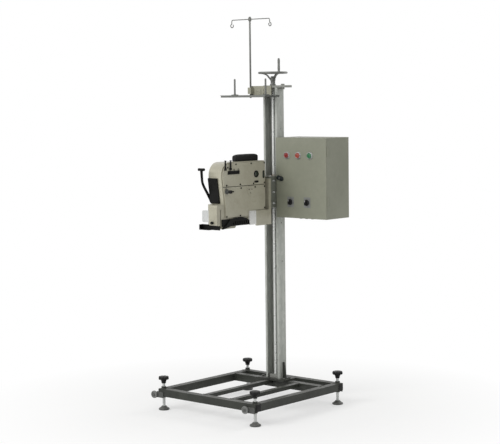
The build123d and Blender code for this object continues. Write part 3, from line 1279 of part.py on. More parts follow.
def door_latch():
    """A quarter-turn latch: flat handle, shaft and the cam behind the door."""
    at = (LATCH_X, LATCH_Z)
    half_x, half_z = LATCH_SIZE[0] / 2, LATCH_SIZE[1] / 2
    handle = block(
        (LATCH_X - half_x, LATCH_X + half_x), (BOX_FRONT - 12, BOX_FRONT - PART_GAP), (
            LATCH_Z - half_z,
            LATCH_Z + half_z,
        )
    )
    handle = ease(handle, Axis.Y, half_z - 1)
    handle += bar("Y", at, LATCH_SHAFT_R, BOX_FRONT - 1, BODY_FRONT + SHEET + 5)
    cam_y = (BODY_FRONT + SHEET + 1, BODY_FRONT + SHEET + 5)
    handle += block((LATCH_X - 7, LATCH_X + 7), cam_y, (LATCH_Z - LATCH_CAM, LATCH_Z + 8))
    return [handle]


def door_bezels():
    """The front rings, barrels and contact blocks of buttons and selectors, and the legend plates."""
    pieces = []
    inner = BUTTON_R + BEZEL_CLEARANCE
    for x, z in door_holes():
        at = (x, z)
        front = BOX_FRONT - BEZEL_PROUD
        if z == SELECTOR_Z:
            front = BOX_FRONT - LEGEND_THICK - 3
        barrel = ring("Y", at, BEZEL_R, inner, front, BOX_FRONT)
        barrel += ring("Y", at, BARREL_R - 0.1, inner, BOX_FRONT - 1, BOX_FRONT + BARREL_LENGTH)
        barrel += ring("Y", at, BEZEL_R + 2, BARREL_R - 1, BOX_FRONT + SHEET, BOX_FRONT + SHEET + 5)
        half = CONTACT_BLOCK / 2
        block_y = (BOX_FRONT + BARREL_LENGTH, BOX_FRONT + BARREL_LENGTH + CONTACT_DEPTH)
        contact = block((x - half, x + half), block_y, (z - half, z + half))
        pieces += [barrel, contact]
    for x in SELECTORS_X:
        half_x, half_z = LEGEND[0] / 2, LEGEND[1] / 2
        legend = block(
            (x - half_x, x + half_x),
            (BOX_FRONT - LEGEND_THICK, BOX_FRONT),
            (SELECTOR_Z - half_z, SELECTOR_Z + half_z),
        )
        pieces.append(legend - bar("Y", (x, SELECTOR_Z), BEZEL_R, BOX_FRONT - 5, BOX_FRONT + 1))
    return pieces


def push_button(x):
    """A domed cap that slides in its barrel."""
    front = BOX_FRONT - BEZEL_PROUD - BUTTON_PROUD
    rear = BOX_FRONT + BARREL_LENGTH - BUTTON_TRAVEL - 2
    cap = bar("Y", (x, BUTTON_Z), BUTTON_R, front, rear)
    return [fillet(cap.edges().sort_by(Axis.Y)[0], 2.5)]


def selector(x):
    """A round selector with a raised finger bar."""
    front = BOX_FRONT - LEGEND_THICK - 3 - PART_GAP
    knob = bar("Y", (x, SELECTOR_Z), BUTTON_R + 2, front - 5, front)
    knob += bar("Y", (x, SELECTOR_Z), BUTTON_R, front - 1, BOX_FRONT + BARREL_LENGTH - 2)
    grip = block((x - 4, x + 4), (front - 5 - SELECTOR_GRIP, front - 4), (SELECTOR_Z - 12, SELECTOR_Z + 12))
    return [knob + ease(grip, Axis.Y, 3)]


def switchgear():
    """Mounting plate on its standoffs, rail, two contactors, an overload relay and a terminal strip."""
    margin = BACK_PLATE_MARGIN
    rear = BOX_REAR - SHEET
    plate_y = (rear - BACK_PLATE_GAP - SHEET, rear - BACK_PLATE_GAP)
    x_span = (BOX_LEFT + margin, BOX_RIGHT - margin)
    z_span = (BOX_LOW + margin, BOX_HIGH - margin)
    pieces = [block(x_span, plate_y, z_span)]
    for x in (x_span[0] + 10, x_span[1] - 10):
        for z in (z_span[0] + 10, z_span[1] - 10):
            pieces.append(bar("Y", (x, z), 5, plate_y[1], rear))
    for row, items in ((0.72, ((0.16, 45, 75), (0.40, 45, 75), (0.66, 45, 60))), (0.26, ((0.48, 180, 42),))):
        z = z_span[0] + row * (z_span[1] - z_span[0])
        rail_y = (plate_y[0] - 8, plate_y[0])
        pieces.append(block((x_span[0] + 12, x_span[1] - 12), rail_y, (z - 17.5, z + 17.5)))
        for share, width, depth in items:
            x = x_span[0] + share * (x_span[1] - x_span[0])
            height = 40 if width < 100 else 24
            y_span = (rail_y[0] - depth, rail_y[0])
            pieces.append(block((x - width / 2, x + width / 2), y_span, (z - height, z + height)))
    return pieces


def box_fittings():
    """What fastens the case: straps and bolts to the column, hinge leaves with pins, cable glands."""
    pieces = []
    y_span = (COLUMN_FRONT + 8, COLUMN_REAR - 8)
    for z in STRAPS_Z:
        strap = block((COLUMN_RIGHT, BOX_LEFT), y_span, (z - STRAP_HEIGHT / 2, z + STRAP_HEIGHT / 2))
        for place in strap_bolt_places():
            strap -= bar("X", place, STRAP_BOLT_R + 0.3, COLUMN_RIGHT - 1, BOX_LEFT + 1)
        pieces.append(strap)
    for place in strap_bolt_places():
        bolt = bar("X", place, STRAP_BOLT_R, COLUMN_RIGHT - COLUMN_WALL, BOX_LEFT + SHEET)
        pieces.append(bolt + hexagon("X", place, 14, BOX_LEFT + SHEET, BOX_LEFT + SHEET + 5.5))
    axis = (BOX_RIGHT, DOOR_REAR + DOOR_GAP / 2)
    for z in HINGES_Z:
        leaf = block(
            (BOX_RIGHT, BOX_RIGHT + 2),
            (axis[1] + 4, axis[1] + HINGE_LEAF),
            (z - HINGE_LENGTH, z + HINGE_LENGTH),
        )
        leaf += block((BOX_RIGHT, BOX_RIGHT + 2), (axis[1], axis[1] + 5), (z - HINGE_LENGTH, z))
        leaf += bar("Z", axis, HINGE_R, z - HINGE_LENGTH, z)
        leaf += bar("Z", axis, HINGE_PIN_R, z - HINGE_LENGTH, z + HINGE_LENGTH)
        pieces.append(leaf)
    for x in GLANDS_X:
        at = (x, gland_y())
        gland = bar("Z", at, GLAND_R - 2, BOX_LOW - 2, BOX_LOW + SHEET + 2)
        gland += hexagon("Z", at, 2 * GLAND_R + 2, BOX_LOW - 6, BOX_LOW)
        gland += bar("Z", at, GLAND_R - 2, BOX_LOW - GLAND_DROP, BOX_LOW - 5)
        gland += hexagon("Z", at, 2 * GLAND_R + 2, BOX_LOW + SHEET, BOX_LOW + SHEET + 5)
        pieces.append(gland)
    return pieces


# ---------------------------------------------------------------- every node and its solids
def all_nodes():
    nodes = {
        "base_frame": base_frame(),
        "wheel_brackets": wheel_brackets(),
        "column": column(),
        "column_foot": column_foot(),
        "top_plate": top_plate(),
        "screw_bearings": screw_bearings(),
        "lead_screw": lead_screw(),
        "handwheel": handwheel(),
        "handwheel_grip": handwheel_grip(),
        "carriage": carriage(),
        "lift_nut": lift_nut(),
        "head_bracket": head_bracket(),
        "stand_bracket": stand_bracket(),
        "thread_tray": thread_tray(),
        "thread_guide": thread_guide(),
        "cone_spindles": cone_spindles(),
        "control_box": control_box(),
        "control_box_door": control_box_door(),
        "door_seal": door_seal(),
        "door_latch": door_latch(),
        "door_bezels": door_bezels(),
        "switchgear": switchgear(),
        "box_fittings": box_fittings(),
        "head_housing": head_housing(),
        "head_cover": head_cover(),
        "oil_windows": oil_windows(),
        "carry_handle": carry_handle(),
        "needle_guard": needle_guard(),
        "presser_lever": presser_lever(),
        "presser_foot": presser_foot(),
        "needle_bar": needle_bar(),
        "main_shaft": main_shaft(),
        "looper": looper(),
        "throat_plate": throat_plate(),
        "feed_dog": feed_dog(),
        "feed_guard": feed_guard(),
        "guard_holder": guard_holder(),
        "tension_post": tension_post(),
        "tension_knob": tension_knob(),
        "motor": motor(),
        "motor_pulley": motor_pulley(),
        "drive_belt": drive_belt(),
        "thread_cutter": thread_cutter(),
    }
    for corner, at in FEET.items():
        nodes["levelling_pad_" + corner] = levelling_pad(at)
        nodes["levelling_screw_" + corner] = levelling_screw(at)
    for corner, place in wheel_places().items():
        nodes["transport_wheel_" + corner] = transport_wheel(place)
    for colour, x in zip(("red", "amber", "green"), BUTTONS_X):
        nodes[colour + "_button"] = push_button(x)
    for side, x in zip(("left", "right"), SELECTORS_X):
        nodes["selector_" + side] = selector(x)
    return nodes


def write_nodes():
    os.makedirs("parts", exist_ok=True)
    for name, shapes in all_nodes().items():
        solids = [solid for shape in shapes for solid in shape.solids()]
        model = solids[0] if len(solids) == 1 else Compound(children=solids)
        model.label = name
        export_step(model, f"parts/{name}.step")
        print(f"{name}: {len(solids)} solids")


write_nodes()
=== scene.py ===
import json
from math import cos, pi, radians, sin

import bmesh
import bpy
import numpy as np
from mathutils import Matrix, Vector


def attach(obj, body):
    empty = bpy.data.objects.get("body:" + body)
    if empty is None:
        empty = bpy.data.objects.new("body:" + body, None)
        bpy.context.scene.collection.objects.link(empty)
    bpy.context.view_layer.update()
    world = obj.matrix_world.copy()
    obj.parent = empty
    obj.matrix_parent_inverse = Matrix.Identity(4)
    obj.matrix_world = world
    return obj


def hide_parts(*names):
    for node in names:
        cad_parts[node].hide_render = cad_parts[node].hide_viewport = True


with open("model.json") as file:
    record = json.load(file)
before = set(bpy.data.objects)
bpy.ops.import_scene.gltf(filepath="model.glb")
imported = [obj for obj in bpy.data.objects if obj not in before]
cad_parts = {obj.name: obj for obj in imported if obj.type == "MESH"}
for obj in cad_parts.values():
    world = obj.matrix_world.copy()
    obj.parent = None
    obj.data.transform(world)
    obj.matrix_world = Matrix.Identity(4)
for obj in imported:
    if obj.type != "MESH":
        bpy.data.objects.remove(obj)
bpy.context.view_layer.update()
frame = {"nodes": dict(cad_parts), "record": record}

MM = 0.001
MERGE = 2e-6
BEVEL_FROM = radians(38)
NODE_BODY = {
    node: body for body, nodes in frame["record"]["behaviour"]["bodies"].items() for node in nodes
}
NODE_SLOT = {entry["node"]: entry["material_slot"] for entry in frame["record"]["subparts"]}
FINISH = {}  # every finish by its name, as new_material makes it


# ---------------------------------------------------------------- surfaces
def grid(rows, columns, wrap_rows=False, wrap_columns=False, lids=False):
    """Quads between the points of a rows by columns grid; a wrapped way joins its end to its start.

    Lids close the first and the last row with one face each.
    """
    row = np.arange(rows if wrap_rows else rows - 1)[:, None]
    column = np.arange(columns if wrap_columns else columns - 1)[None, :]
    next_row, next_column = (row + 1) % rows, (column + 1) % columns
    corners = (
        row * columns + column,
        row * columns + next_column,
        next_row * columns + next_column,
        next_row * columns + column,
    )
    faces = np.stack(np.broadcast_arrays(*corners), -1).reshape(-1, 4).tolist()
    if lids:
        last = (rows - 1) * columns
        faces += [list(range(columns))[::-1], list(range(last, last + columns))]
    return faces


def place(axis, at, first, second, along):
    """Points (x, y, z) from two offsets across an axis and the distance along it.

    at is where the axis stands on the other two row axes, in X, Y, Z order.
    """
    first, second, along = np.broadcast_arrays(first, second, along)
    across = [at[0] + first, at[1] + second]
    across.insert("XYZ".index(axis), along)
    return np.stack(across, -1).reshape(-1, 3)


def turned(axis, at, profile, count=40, ripple=None, base=0.0, way=1):
    """A turned shape: each (radius, height) of the profile goes round the axis once.

    Heights count from the base, upwards or downwards as the way says. A ripple gives the factor
    on the radius at each angle and profile point, for lobes and flats.
    """
    radius, height = np.array(profile, float).T
    angle = np.linspace(0, 2 * pi, count, endpoint=False)[:, None]
    spread = radius[None, :] * (ripple(angle, radius[None, :]) if ripple else 1.0)
    along = base + way * height[None, :]
    points = place(axis, at, spread * np.cos(angle), spread * np.sin(angle), along)
    return points, grid(count, len(radius), wrap_rows=True)


def knurled(count, depth, beyond):
    """A ripple of rounded ridges: a cosine of so many waves a turn, on what lies beyond a radius."""
    def ripple(angle, radius):
        return 1 - depth * (0.5 + 0.5 * np.cos(count * angle)) * (radius > beyond)

    return ripple


def flattened(first, last):
    """A ripple that makes a hexagon of the profile points from first to last.

    The corners stay on the circle, and between them the radius is that of the straight side.
    """
    def ripple(angle, radius):
        point = np.arange(radius.shape[1])[None, :]
        side = cos(pi / 6) / np.cos(angle % (pi / 3) - pi / 6)
        return np.where((point >= first) & (point <= last), side, 1.0)

    return ripple


def carried(path, section, closed=False, scale=1.0):
    """A section carried along a path: at each point the section stands square to the way ahead.

    The section's first axis is turned as little as possible from one point to the next.
    """
    path, section = np.array(path, float), np.array(section, float)
    ahead = np.roll(path, -1, 0) - np.roll(path, 1, 0) if closed else np.gradient(path, axis=0)
    ahead /= np.linalg.norm(ahead, axis=1)[:, None]
    side = np.cross(ahead[0], (0.0, 0.0, 1.0) if abs(ahead[0][2]) < 0.9 else (1.0, 0.0, 0.0))
    frames = []
    for way in ahead:
        side = side - way * (side @ way)
        side = side / np.linalg.norm(side)
        frames.append((side, np.cross(way, side)))
    frames = np.array(frames)
    flat = np.broadcast_to(scale, len(path))[:, None, None] * section[None, :, :]
    across = flat[..., :1] * frames[:, None, 0] + flat[..., 1:] * frames[:, None, 1]
    faces = grid(len(path), len(section), wrap_rows=closed, wrap_columns=True, lids=not closed)
    return (path[:, None, :] + across).reshape(-1, 3), faces


def circle(radius, count):
    """Points (a, b) at even turns round a middle: radius x cosine and radius x sine."""
    angle = np.linspace(0, 2 * pi, count, endpoint=False)
    return np.stack([radius * np.cos(angle), radius * np.sin(angle)], -1)


def hoop(axis, at, radius, along, count):
    """Points of a circle round an axis."""
    return place(axis, at, *circle(radius, count).T, along)


def polar(at, turn, radius):
    """The point at a turn in degrees and a radius from a middle."""
    return at[0] + radius * cos(radians(turn)), at[1] + radius * sin(radians(turn))


def about(middle, half):
    """Limits at equal distances on both sides of a middle."""
    return middle - half, middle + half


def rectangle(a, b, radius, step=9):
    """A rounded rectangle between two pairs of limits: each corner is an arc tangent to its sides."""
    corners = np.array([(a[0], b[0]), (a[1], b[0]), (a[1], b[1]), (a[0], b[1])], float)
    outline = []
    for before, here, after in zip(np.roll(corners, 1, 0), corners, np.roll(corners, -1, 0)):
        back = (before - here) / np.linalg.norm(before - here)
        on = (after - here) / np.linalg.norm(after - here)
        middle = here + (back + on) * radius
        start = np.arctan2(-on[1], -on[0])
        turn = (np.arctan2(-back[1], -back[0]) - start + pi) % (2 * pi) - pi
        angle = start + turn * np.linspace(0, 1, 90 // step + 2)
        outline.append(middle + radius * np.stack([np.cos(angle), np.sin(angle)], -1))
    return np.concatenate(outline)


def slab(axis, outline, low, high, edge=1.0, steps=3):
    """A plate of a closed outline between two heights, with its rims rounded over.

    Over a rim the outline is drawn in by edge x (1 - sin t) while the height grows by
    edge x (1 - cos t) towards the rim, with t from 0 at the face to a right angle at the side.
    """
    outline = np.array(outline, float)
    after = np.roll(outline, -1, 0)
    turn = after - outline
    area = (outline[:, 0] * after[:, 1] - outline[:, 1] * after[:, 0]).sum()
    normal = np.stack([turn[:, 1], -turn[:, 0]], -1) * np.sign(area)
    normal /= np.maximum(np.linalg.norm(normal, axis=1), 1e-9)[:, None]
    before = np.roll(normal, 1, 0)
    mitre = (normal + before) / np.maximum(1 + (normal * before).sum(1), 0.25)[:, None]
    t = np.linspace(0, pi / 2, steps + 1)
    drawn, height = edge * (1 - np.sin(t)), edge * (1 - np.cos(t))
    inset = np.concatenate([drawn, drawn[::-1]])
    along = np.concatenate([low + height, high - height[::-1]])
    rim = outline[None, :, :] - inset[:, None, None] * mitre[None, :, :]
    points = place(axis, (0.0, 0.0), rim[..., 0], rim[..., 1], along[:, None])
    return points, grid(len(along), len(outline), wrap_columns=True, lids=True)


def brick(x, y, z, edge, corner=0.0):
    """A block between three pairs of limits, its upright corners and its rims rounded."""
    return slab("Z", rectangle(x, y, max(corner, edge)), *z, edge)


def spoke(axis, at, turn, near, far, half, low, high, edge):
    """A straight bar that points away from an axis, between two radii, with its half width."""
    way, side = np.array(polar((0, 0), turn, 1.0)), np.array(polar((0, 0), turn + 90, 1.0))
    ends = ((near, -half), (far, -half), (far, half), (near, half))
    return slab(axis, [at + way * out + side * off for out, off in ends], low, high, edge, 1)


def threaded(axis, at, radius, depth, pitch, low, high, count):
    """A screw thread: round the axis the height grows by one pitch a turn.

    Across one pitch the radius climbs from the root to a flat crest and falls back.
    """
    share = np.array([0.0, 0.16, 0.36, 0.64, 0.84, 1.0])
    reach = np.array([0.0, 0.0, 1.0, 1.0, 0.0, 0.0]) * depth + radius - depth
    turns = int((high - low) / pitch) + 1
    angle = (np.arange(turns * count + 1) * 2 * pi / count)[:, None]
    along = np.clip(low - pitch + pitch * (angle / (2 * pi) + share[None, :]), low, high)
    points = place(axis, at, reach[None, :] * np.cos(angle), reach[None, :] * np.sin(angle), along)
    return points, grid(len(angle), len(share))


def hexagon_screw(axis, at, corner, low, height, up=1):
    """A hexagon head with a chamfered top on a washer face."""
    profile = [
        (0, 0), (corner * 1.05, 0), (corner * 1.05, 0.8), (corner * 0.93, 0.9),
        (corner, 1), (corner, height - 0.7), (corner * 0.88, height), (0, height),
    ]
    return turned(axis, at, profile, 36, flattened(3, 5), low, up)


def socket_screw(axis, at, radius, low, height, up=1):
    """A round head with a rounded rim and a hexagon socket sunk into it."""
    profile = [
        (0, 0), (radius, 0), (radius, height - radius * 0.25), (radius * 0.92, height - radius * 0.07),
        (radius * 0.8, height), (radius * 0.56, height), (radius * 0.52, height - 0.2),
        (radius * 0.52, height * 0.4), (0, height * 0.25),
    ]
    return turned(axis, at, profile, 30, flattened(6, 7), low, up)


def slotted_screw(axis, at, radius, low, height, up=1):
    """A low domed head of two halves, with the driver's slot between them, on a round base."""
    foot = [(0, 0), (radius, 0), (radius, height * 0.55), (0, height * 0.55)]
    parts = [turned(axis, at, foot, 28, base=low, way=up)]
    limits = sorted((low + up * 0.1, low + up * height))
    angle = np.radians(np.linspace(14, 166, 14))
    for side in (-1, 1):
        half = at + 0.97 * radius * np.stack([np.cos(angle), side * np.sin(angle)], -1)
        parts.append(slab(axis, half, *limits, height * 0.25, 2))
    return parts


def stepped(corners, step):
    """Points at even steps along straight runs between corners."""
    corners = np.array(corners, float)
    runs = np.linalg.norm(np.diff(corners, axis=0), axis=1)
    reached = np.concatenate([[0.0], np.cumsum(runs)])
    along = np.linspace(0, reached[-1], max(3, int(reached[-1] / step) + 1))
    return np.stack([np.interp(along, reached, corners[:, i]) for i in range(3)], -1)


def bent(controls, count):
    """A smooth line through control points: a Catmull-Rom cubic between each pair of them."""
    p = np.array(controls, float)
    p = np.concatenate([[2 * p[0] - p[1]], p, [2 * p[-1] - p[-2]]])
    t = np.linspace(0, 1, count)[None, :, None]
    a, b, c, d = (p[i : len(p) - 3 + i, None, :] for i in range(4))
    square, cube = (2 * a - 5 * b + 4 * c - d) * t**2, (3 * b - a - 3 * c + d) * t**3
    runs = 0.5 * (2 * b + (c - a) * t + square + cube)
    return np.concatenate([runs[:, :-1].reshape(-1, 3), p[-2:-1]])


def weld(corners, radius=2.4, ripple=3.4, closed=False):
    """A weld bead: a round section along the joint, swelling by a sine once every ripple."""
    step = np.linalg.norm(corners[1] - corners[0]) if closed else 0.85
    path = corners if closed else stepped(corners, step)
    swell = 1 + 0.14 * np.sin(2 * pi * step / ripple * np.arange(len(path)))
    return carried(path, circle(radius, 8), closed, swell)


# ---------------------------------------------------------------- pieces
def put(name, data):
    """A new object in the scene."""
    made = bpy.data.objects.new(name, data)
    bpy.context.scene.collection.objects.link(made)
    return made


def finished(name, bm, body, slot, finish, node, sharp, bevel=0.0):
    """Make a piece of a mesh: merged, faces outwards, smooth except over sharp edges, on its body."""
    bmesh.ops.remove_doubles(bm, verts=bm.verts, dist=MERGE)
    bmesh.ops.dissolve_degenerate(bm, edges=bm.edges, dist=1e-6)
    bmesh.ops.recalc_face_normals(bm, faces=bm.faces)
    for face in bm.faces:
        face.smooth = True
    for edge in bm.edges:
        edge.smooth = len(edge.link_faces) == 2 and edge.calc_face_angle(0) < radians(sharp)
    mesh = bpy.data.meshes.new(name)
    bm.to_mesh(mesh)
    bm.free()
    mesh.materials.append(FINISH[finish or slot])
    made = put(name, mesh)
    if bevel:
        edge = made.modifiers.new("edges", "BEVEL")
        edge.width = bevel * MM
        edge.segments = 2
        edge.limit_method = "ANGLE"
        edge.angle_limit = BEVEL_FROM
        edge.harden_normals = True
    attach(made, body)
    if node:
        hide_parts(node)


def piece(name, parts, body, slot, finish=None, node=None, sharp=34, close=False):
    """One object from several surfaces, given in millimetres; close fills what they leave open."""
    points = np.concatenate([part[0] for part in parts]) * MM
    starts = np.cumsum([0] + [len(part[0]) for part in parts])
    faces = [[i + start for i in face] for (_, quads), start in zip(parts, starts) for face in quads]
    mesh = bpy.data.meshes.new(name)
    mesh.from_pydata(points.tolist(), [], faces)
    bm = bmesh.new()
    bm.from_mesh(mesh)
    bpy.data.meshes.remove(mesh)
    bmesh.ops.remove_doubles(bm, verts=bm.verts, dist=MERGE)
    if close:
        bmesh.ops.holes_fill(bm, edges=[e for e in bm.edges if len(e.link_faces) == 1], sides=0)
    finished(name, bm, body, slot, finish, node, sharp)


def stand_in(node, name, parts, sharp=40, finish=None):
    """A finely shaped piece that stands for a CAD node, on its body and with its slot."""
    piece(name, parts, NODE_BODY[node], NODE_SLOT[node], finish, node, sharp)


def dressed(node, bevel, finish=None, keep=None, name=None):
    """A merged copy of a CAD node with softened edges, standing for it, or for what keep picks."""
    bm = bmesh.new()
    bm.from_mesh(frame["nodes"][node].data)
    bmesh.ops.remove_doubles(bm, verts=bm.verts, dist=1e-5)
    if keep:
        loose = [vert for vert in bm.verts if not keep(vert.co)]
        bmesh.ops.delete(bm, geom=loose, context="VERTS")
    bmesh.ops.dissolve_limit(
        bm, angle_limit=radians(0.6), use_dissolve_boundaries=False, verts=bm.verts, edges=bm.edges
    )
    body, slot = NODE_BODY[node], NODE_SLOT[node]
    finished(name or node + "_dressed", bm, body, slot, finish, node, 30, bevel)


# ---------------------------------------------------------------- shader groups
def link(tree, node, name, value):
    """Give a socket a number, a colour or another node's output."""
    socket = node.inputs[name]
    if isinstance(value, bpy.types.NodeSocket):
        tree.links.new(value, socket)
    elif hasattr(socket.default_value, "__len__") and len(socket.default_value) == 4:
        socket.default_value = (*value[:3], 1.0)
    else:
        socket.default_value = value


def add(tree, kind, settings=None, **inputs):
    """A node of a kind, with its settings and its inputs by name, or by number as i0, i1 and so on.

    Underscores stand for spaces.
    """
    node = tree.nodes.new(kind)
    for key, value in (settings or {}).items():
        setattr(node, key, value)
    for key, value in inputs.items():
        numbered = key[0] == "i" and key[1:].isdigit()
        link(tree, node, int(key[1:]) if numbered else key.replace("_", " "), value)
    return node


def maths(tree, operation, first, second=0.0, clamp=False):
    """One step of arithmetic on two values."""
    settings = {"operation": operation, "use_clamp": clamp}
    return add(tree, "ShaderNodeMath", settings, i0=first, i1=second).outputs[0]


def span(tree, value, low, high, to_low=0.0, to_high=1.0):
    """Stretch values between low and high over another range, clamped."""
    return add(
        tree, "ShaderNodeMapRange", {"clamp": True}, Value=value, From_Min=low, From_Max=high,
        To_Min=to_low, To_Max=to_high,
    ).outputs[0]


def blend(tree, share, first, second):
    """Mix two colours by a share."""
    return add(tree, "ShaderNodeMix", {"data_type": "RGBA"}, i0=share, i6=first, i7=second).outputs[2]


def vectors(tree, operation, first, second=(0.0, 0.0, 0.0), **inputs):
    """One step of arithmetic on two vectors, as a node."""
    return add(tree, "ShaderNodeVectorMath", {"operation": operation}, i0=first, i1=second, **inputs)


def object_place(tree, stretch=None):
    """Object coordinates, in metres, stretched by a vector."""
    made = add(tree, "ShaderNodeTexCoord").outputs["Object"]
    return vectors(tree, "MULTIPLY", made, stretch).outputs[0] if stretch else made


def noise(tree, at, scale, detail, rough):
    """Cloudy noise between 0 and 1."""
    return add(
        tree, "ShaderNodeTexNoise", Vector=at, Scale=scale, Detail=detail, Roughness=rough
    ).outputs[0]


def specks(tree, scale, detail, rough, low, high, amount):
    """Scattered stains: what of a noise lies above low, in full from high on."""
    return span(tree, noise(tree, object_place(tree), scale, detail, rough), low, high, 0.0, amount)


def group(name, inputs, build, outputs=("Share",)):
    """A shader node group with named number sockets; build gets its tree and its inputs by name."""
    tree = bpy.data.node_groups.new(name, "ShaderNodeTree")
    for label, default in inputs.items():
        socket = tree.interface.new_socket(label, in_out="INPUT", socket_type="NodeSocketFloat")
        socket.default_value = default
    for label in outputs:
        tree.interface.new_socket(label, in_out="OUTPUT", socket_type="NodeSocketFloat")
    source, sink = tree.nodes.new("NodeGroupInput"), tree.nodes.new("NodeGroupOutput")
    for label, value in build(tree, source.outputs).items():
        tree.links.new(value, sink.inputs[label])
    return tree


def build_patches(tree, given):
    """Soft blotches: two sizes of noise, added up and stretched to full contrast."""
    at = object_place(tree)
    large = noise(tree, at, given["Scale"], 5.0, 0.6)
    fine = noise(tree, at, maths(tree, "MULTIPLY", given["Scale"], 7.3), 3.0, 0.6)
    large, fine = maths(tree, "MULTIPLY", large, 0.7), maths(tree, "MULTIPLY", fine, 0.3)
    return {"Share": span(tree, maths(tree, "ADD", large, fine), 0.38, 0.62)}


def build_wear(tree, given):
    """Edge wear: where the rounded-over normal leaves the true one, broken up by noise."""
    soft = add(tree, "ShaderNodeBevel", {"samples": 4}, Radius=given["Radius"]).outputs[0]
    true = add(tree, "ShaderNodeNewGeometry").outputs["Normal"]
    edge = span(tree, vectors(tree, "DOT_PRODUCT", soft, true).outputs["Value"], 0.995, 0.86)
    broken = noise(tree, object_place(tree), given["Scale"], 6.0, 0.7)
    kept = maths(tree, "SUBTRACT", broken, maths(tree, "SUBTRACT", 1.0, given["Amount"]))
    return {"Share": maths(tree, "MULTIPLY", edge, span(tree, kept, 0.0, 0.12), True)}


def build_grain(tree, given):
    """Fine skin: small and broad noise added up, for orange peel, casting sand or moulded texture."""
    at = object_place(tree)
    fine = noise(tree, at, given["Scale"], 2.0, 0.5)
    broad = noise(tree, at, maths(tree, "MULTIPLY", given["Scale"], 0.12), 2.0, 0.5)
    return {"Height": maths(tree, "ADD", fine, maths(tree, "MULTIPLY", broad, 0.8))}


def build_dust(tree, given):
    """Dust on what faces up, thicker in patches."""
    normal = add(tree, "ShaderNodeNewGeometry").outputs["Normal"]
    lying = span(tree, add(tree, "ShaderNodeSeparateXYZ", Vector=normal).outputs["Z"], 0.35, 0.95)
    patchy = span(tree, noise(tree, object_place(tree), given["Scale"], 6.0, 0.65), 0.35, 0.7)
    thin = maths(tree, "MULTIPLY", span(tree, patchy, 0.0, 1.0, 0.35, 1.0), lying)
    return {"Share": maths(tree, "MULTIPLY", thin, given["Amount"], True)}


def build_spangle(tree, given):
    """Zinc spangles: warped cells with a tone each, and long streaks of weathering."""
    at = object_place(tree, (1.0, 1.0, 0.55))
    colour = add(tree, "ShaderNodeTexNoise", Vector=at, Scale=90.0, Detail=3.0).outputs["Color"]
    bend = vectors(tree, "SCALE", colour, Scale=0.006).outputs[0]
    warped = vectors(tree, "ADD", at, bend).outputs[0]
    cells = add(tree, "ShaderNodeTexVoronoi", {"feature": "F1"}, Vector=warped, Scale=given["Scale"])
    tone = add(tree, "ShaderNodeSeparateXYZ", Vector=cells.outputs["Color"]).outputs["X"]
    streaks = noise(tree, object_place(tree, (26.0, 26.0, 1.1)), 2.2, 5.0, 0.6)
    return {"Tone": tone, "Streaks": span(tree, streaks, 0.35, 0.68)}


PATCHES = group("patches", {"Scale": 8.0}, build_patches)
WEAR = group("edge_wear", {"Radius": 0.002, "Scale": 90.0, "Amount": 0.5}, build_wear)
GRAIN = group("grain", {"Scale": 900.0}, build_grain, ("Height",))
DUST = group("dust", {"Scale": 14.0, "Amount": 0.5}, build_dust)
SPANGLE = group("spangle", {"Scale": 75.0}, build_spangle, ("Tone", "Streaks"))


def effect(tree, made_from, output=0, **inputs):
    """Place a group in a material, with its own values."""
    return add(tree, "ShaderNodeGroup", {"node_tree": made_from}, **inputs).outputs[output]


# ---------------------------------------------------------------- finishes
def new_material(name, **sockets):
    """A finish with its Principled shader; constants go straight onto its sockets."""
    material = bpy.data.materials.new(name)
    material.use_nodes = True
    tree = material.node_tree
    shader = tree.nodes["Principled BSDF"]
    for key, value in sockets.items():
        link(tree, shader, key.replace("_", " "), value)
    FINISH[name] = material
    return tree, shader


def surface(tree, shader, colour, gloss, skin, depth):
    """Give a shader its colour and roughness, and a bump from a height and its depth in metres."""
    tree.links.new(colour, shader.inputs["Base Color"])
    tree.links.new(gloss, shader.inputs["Roughness"])
    raised = add(tree, "ShaderNodeBump", Height=skin, Distance=depth, Strength=1.0)
    tree.links.new(raised.outputs[0], shader.inputs["Normal"])


def painted(
    name, colour, dark, bare=(0.16, 0.15, 0.14), rough=(0.34, 0.5), grain=700.0, depth=0.00025,
    wear=0.4, radius=0.0018, dust=0.25, patch=9.0, coat=0.0, dust_colour=(0.42, 0.40, 0.36),
    spots=0.0, spot_colour=(0.1, 0.08, 0.06), shine=0.5,
):
    """Paint: two tones in soft patches, worn edges, settled dust, stains, and an orange-peel skin."""
    tree, shader = new_material(name, Coat_Weight=coat, Coat_Roughness=0.2, Specular_IOR_Level=shine)
    tone = effect(tree, PATCHES, Scale=patch)
    skin = blend(tree, tone, colour, dark)
    if spots:
        skin = blend(tree, specks(tree, 34.0, 7.0, 0.72, 0.62, 0.8, spots), skin, spot_colour)
    skin = blend(tree, effect(tree, WEAR, Radius=radius, Amount=wear), skin, bare)
    lying = effect(tree, DUST, Amount=dust)
    skin = blend(tree, lying, skin, dust_colour)
    gloss = span(tree, tone, 0.0, 1.0, *rough)
    gloss = maths(tree, "ADD", gloss, maths(tree, "MULTIPLY", lying, 0.3), True)
    surface(tree, shader, skin, gloss, effect(tree, GRAIN, Scale=grain), depth)


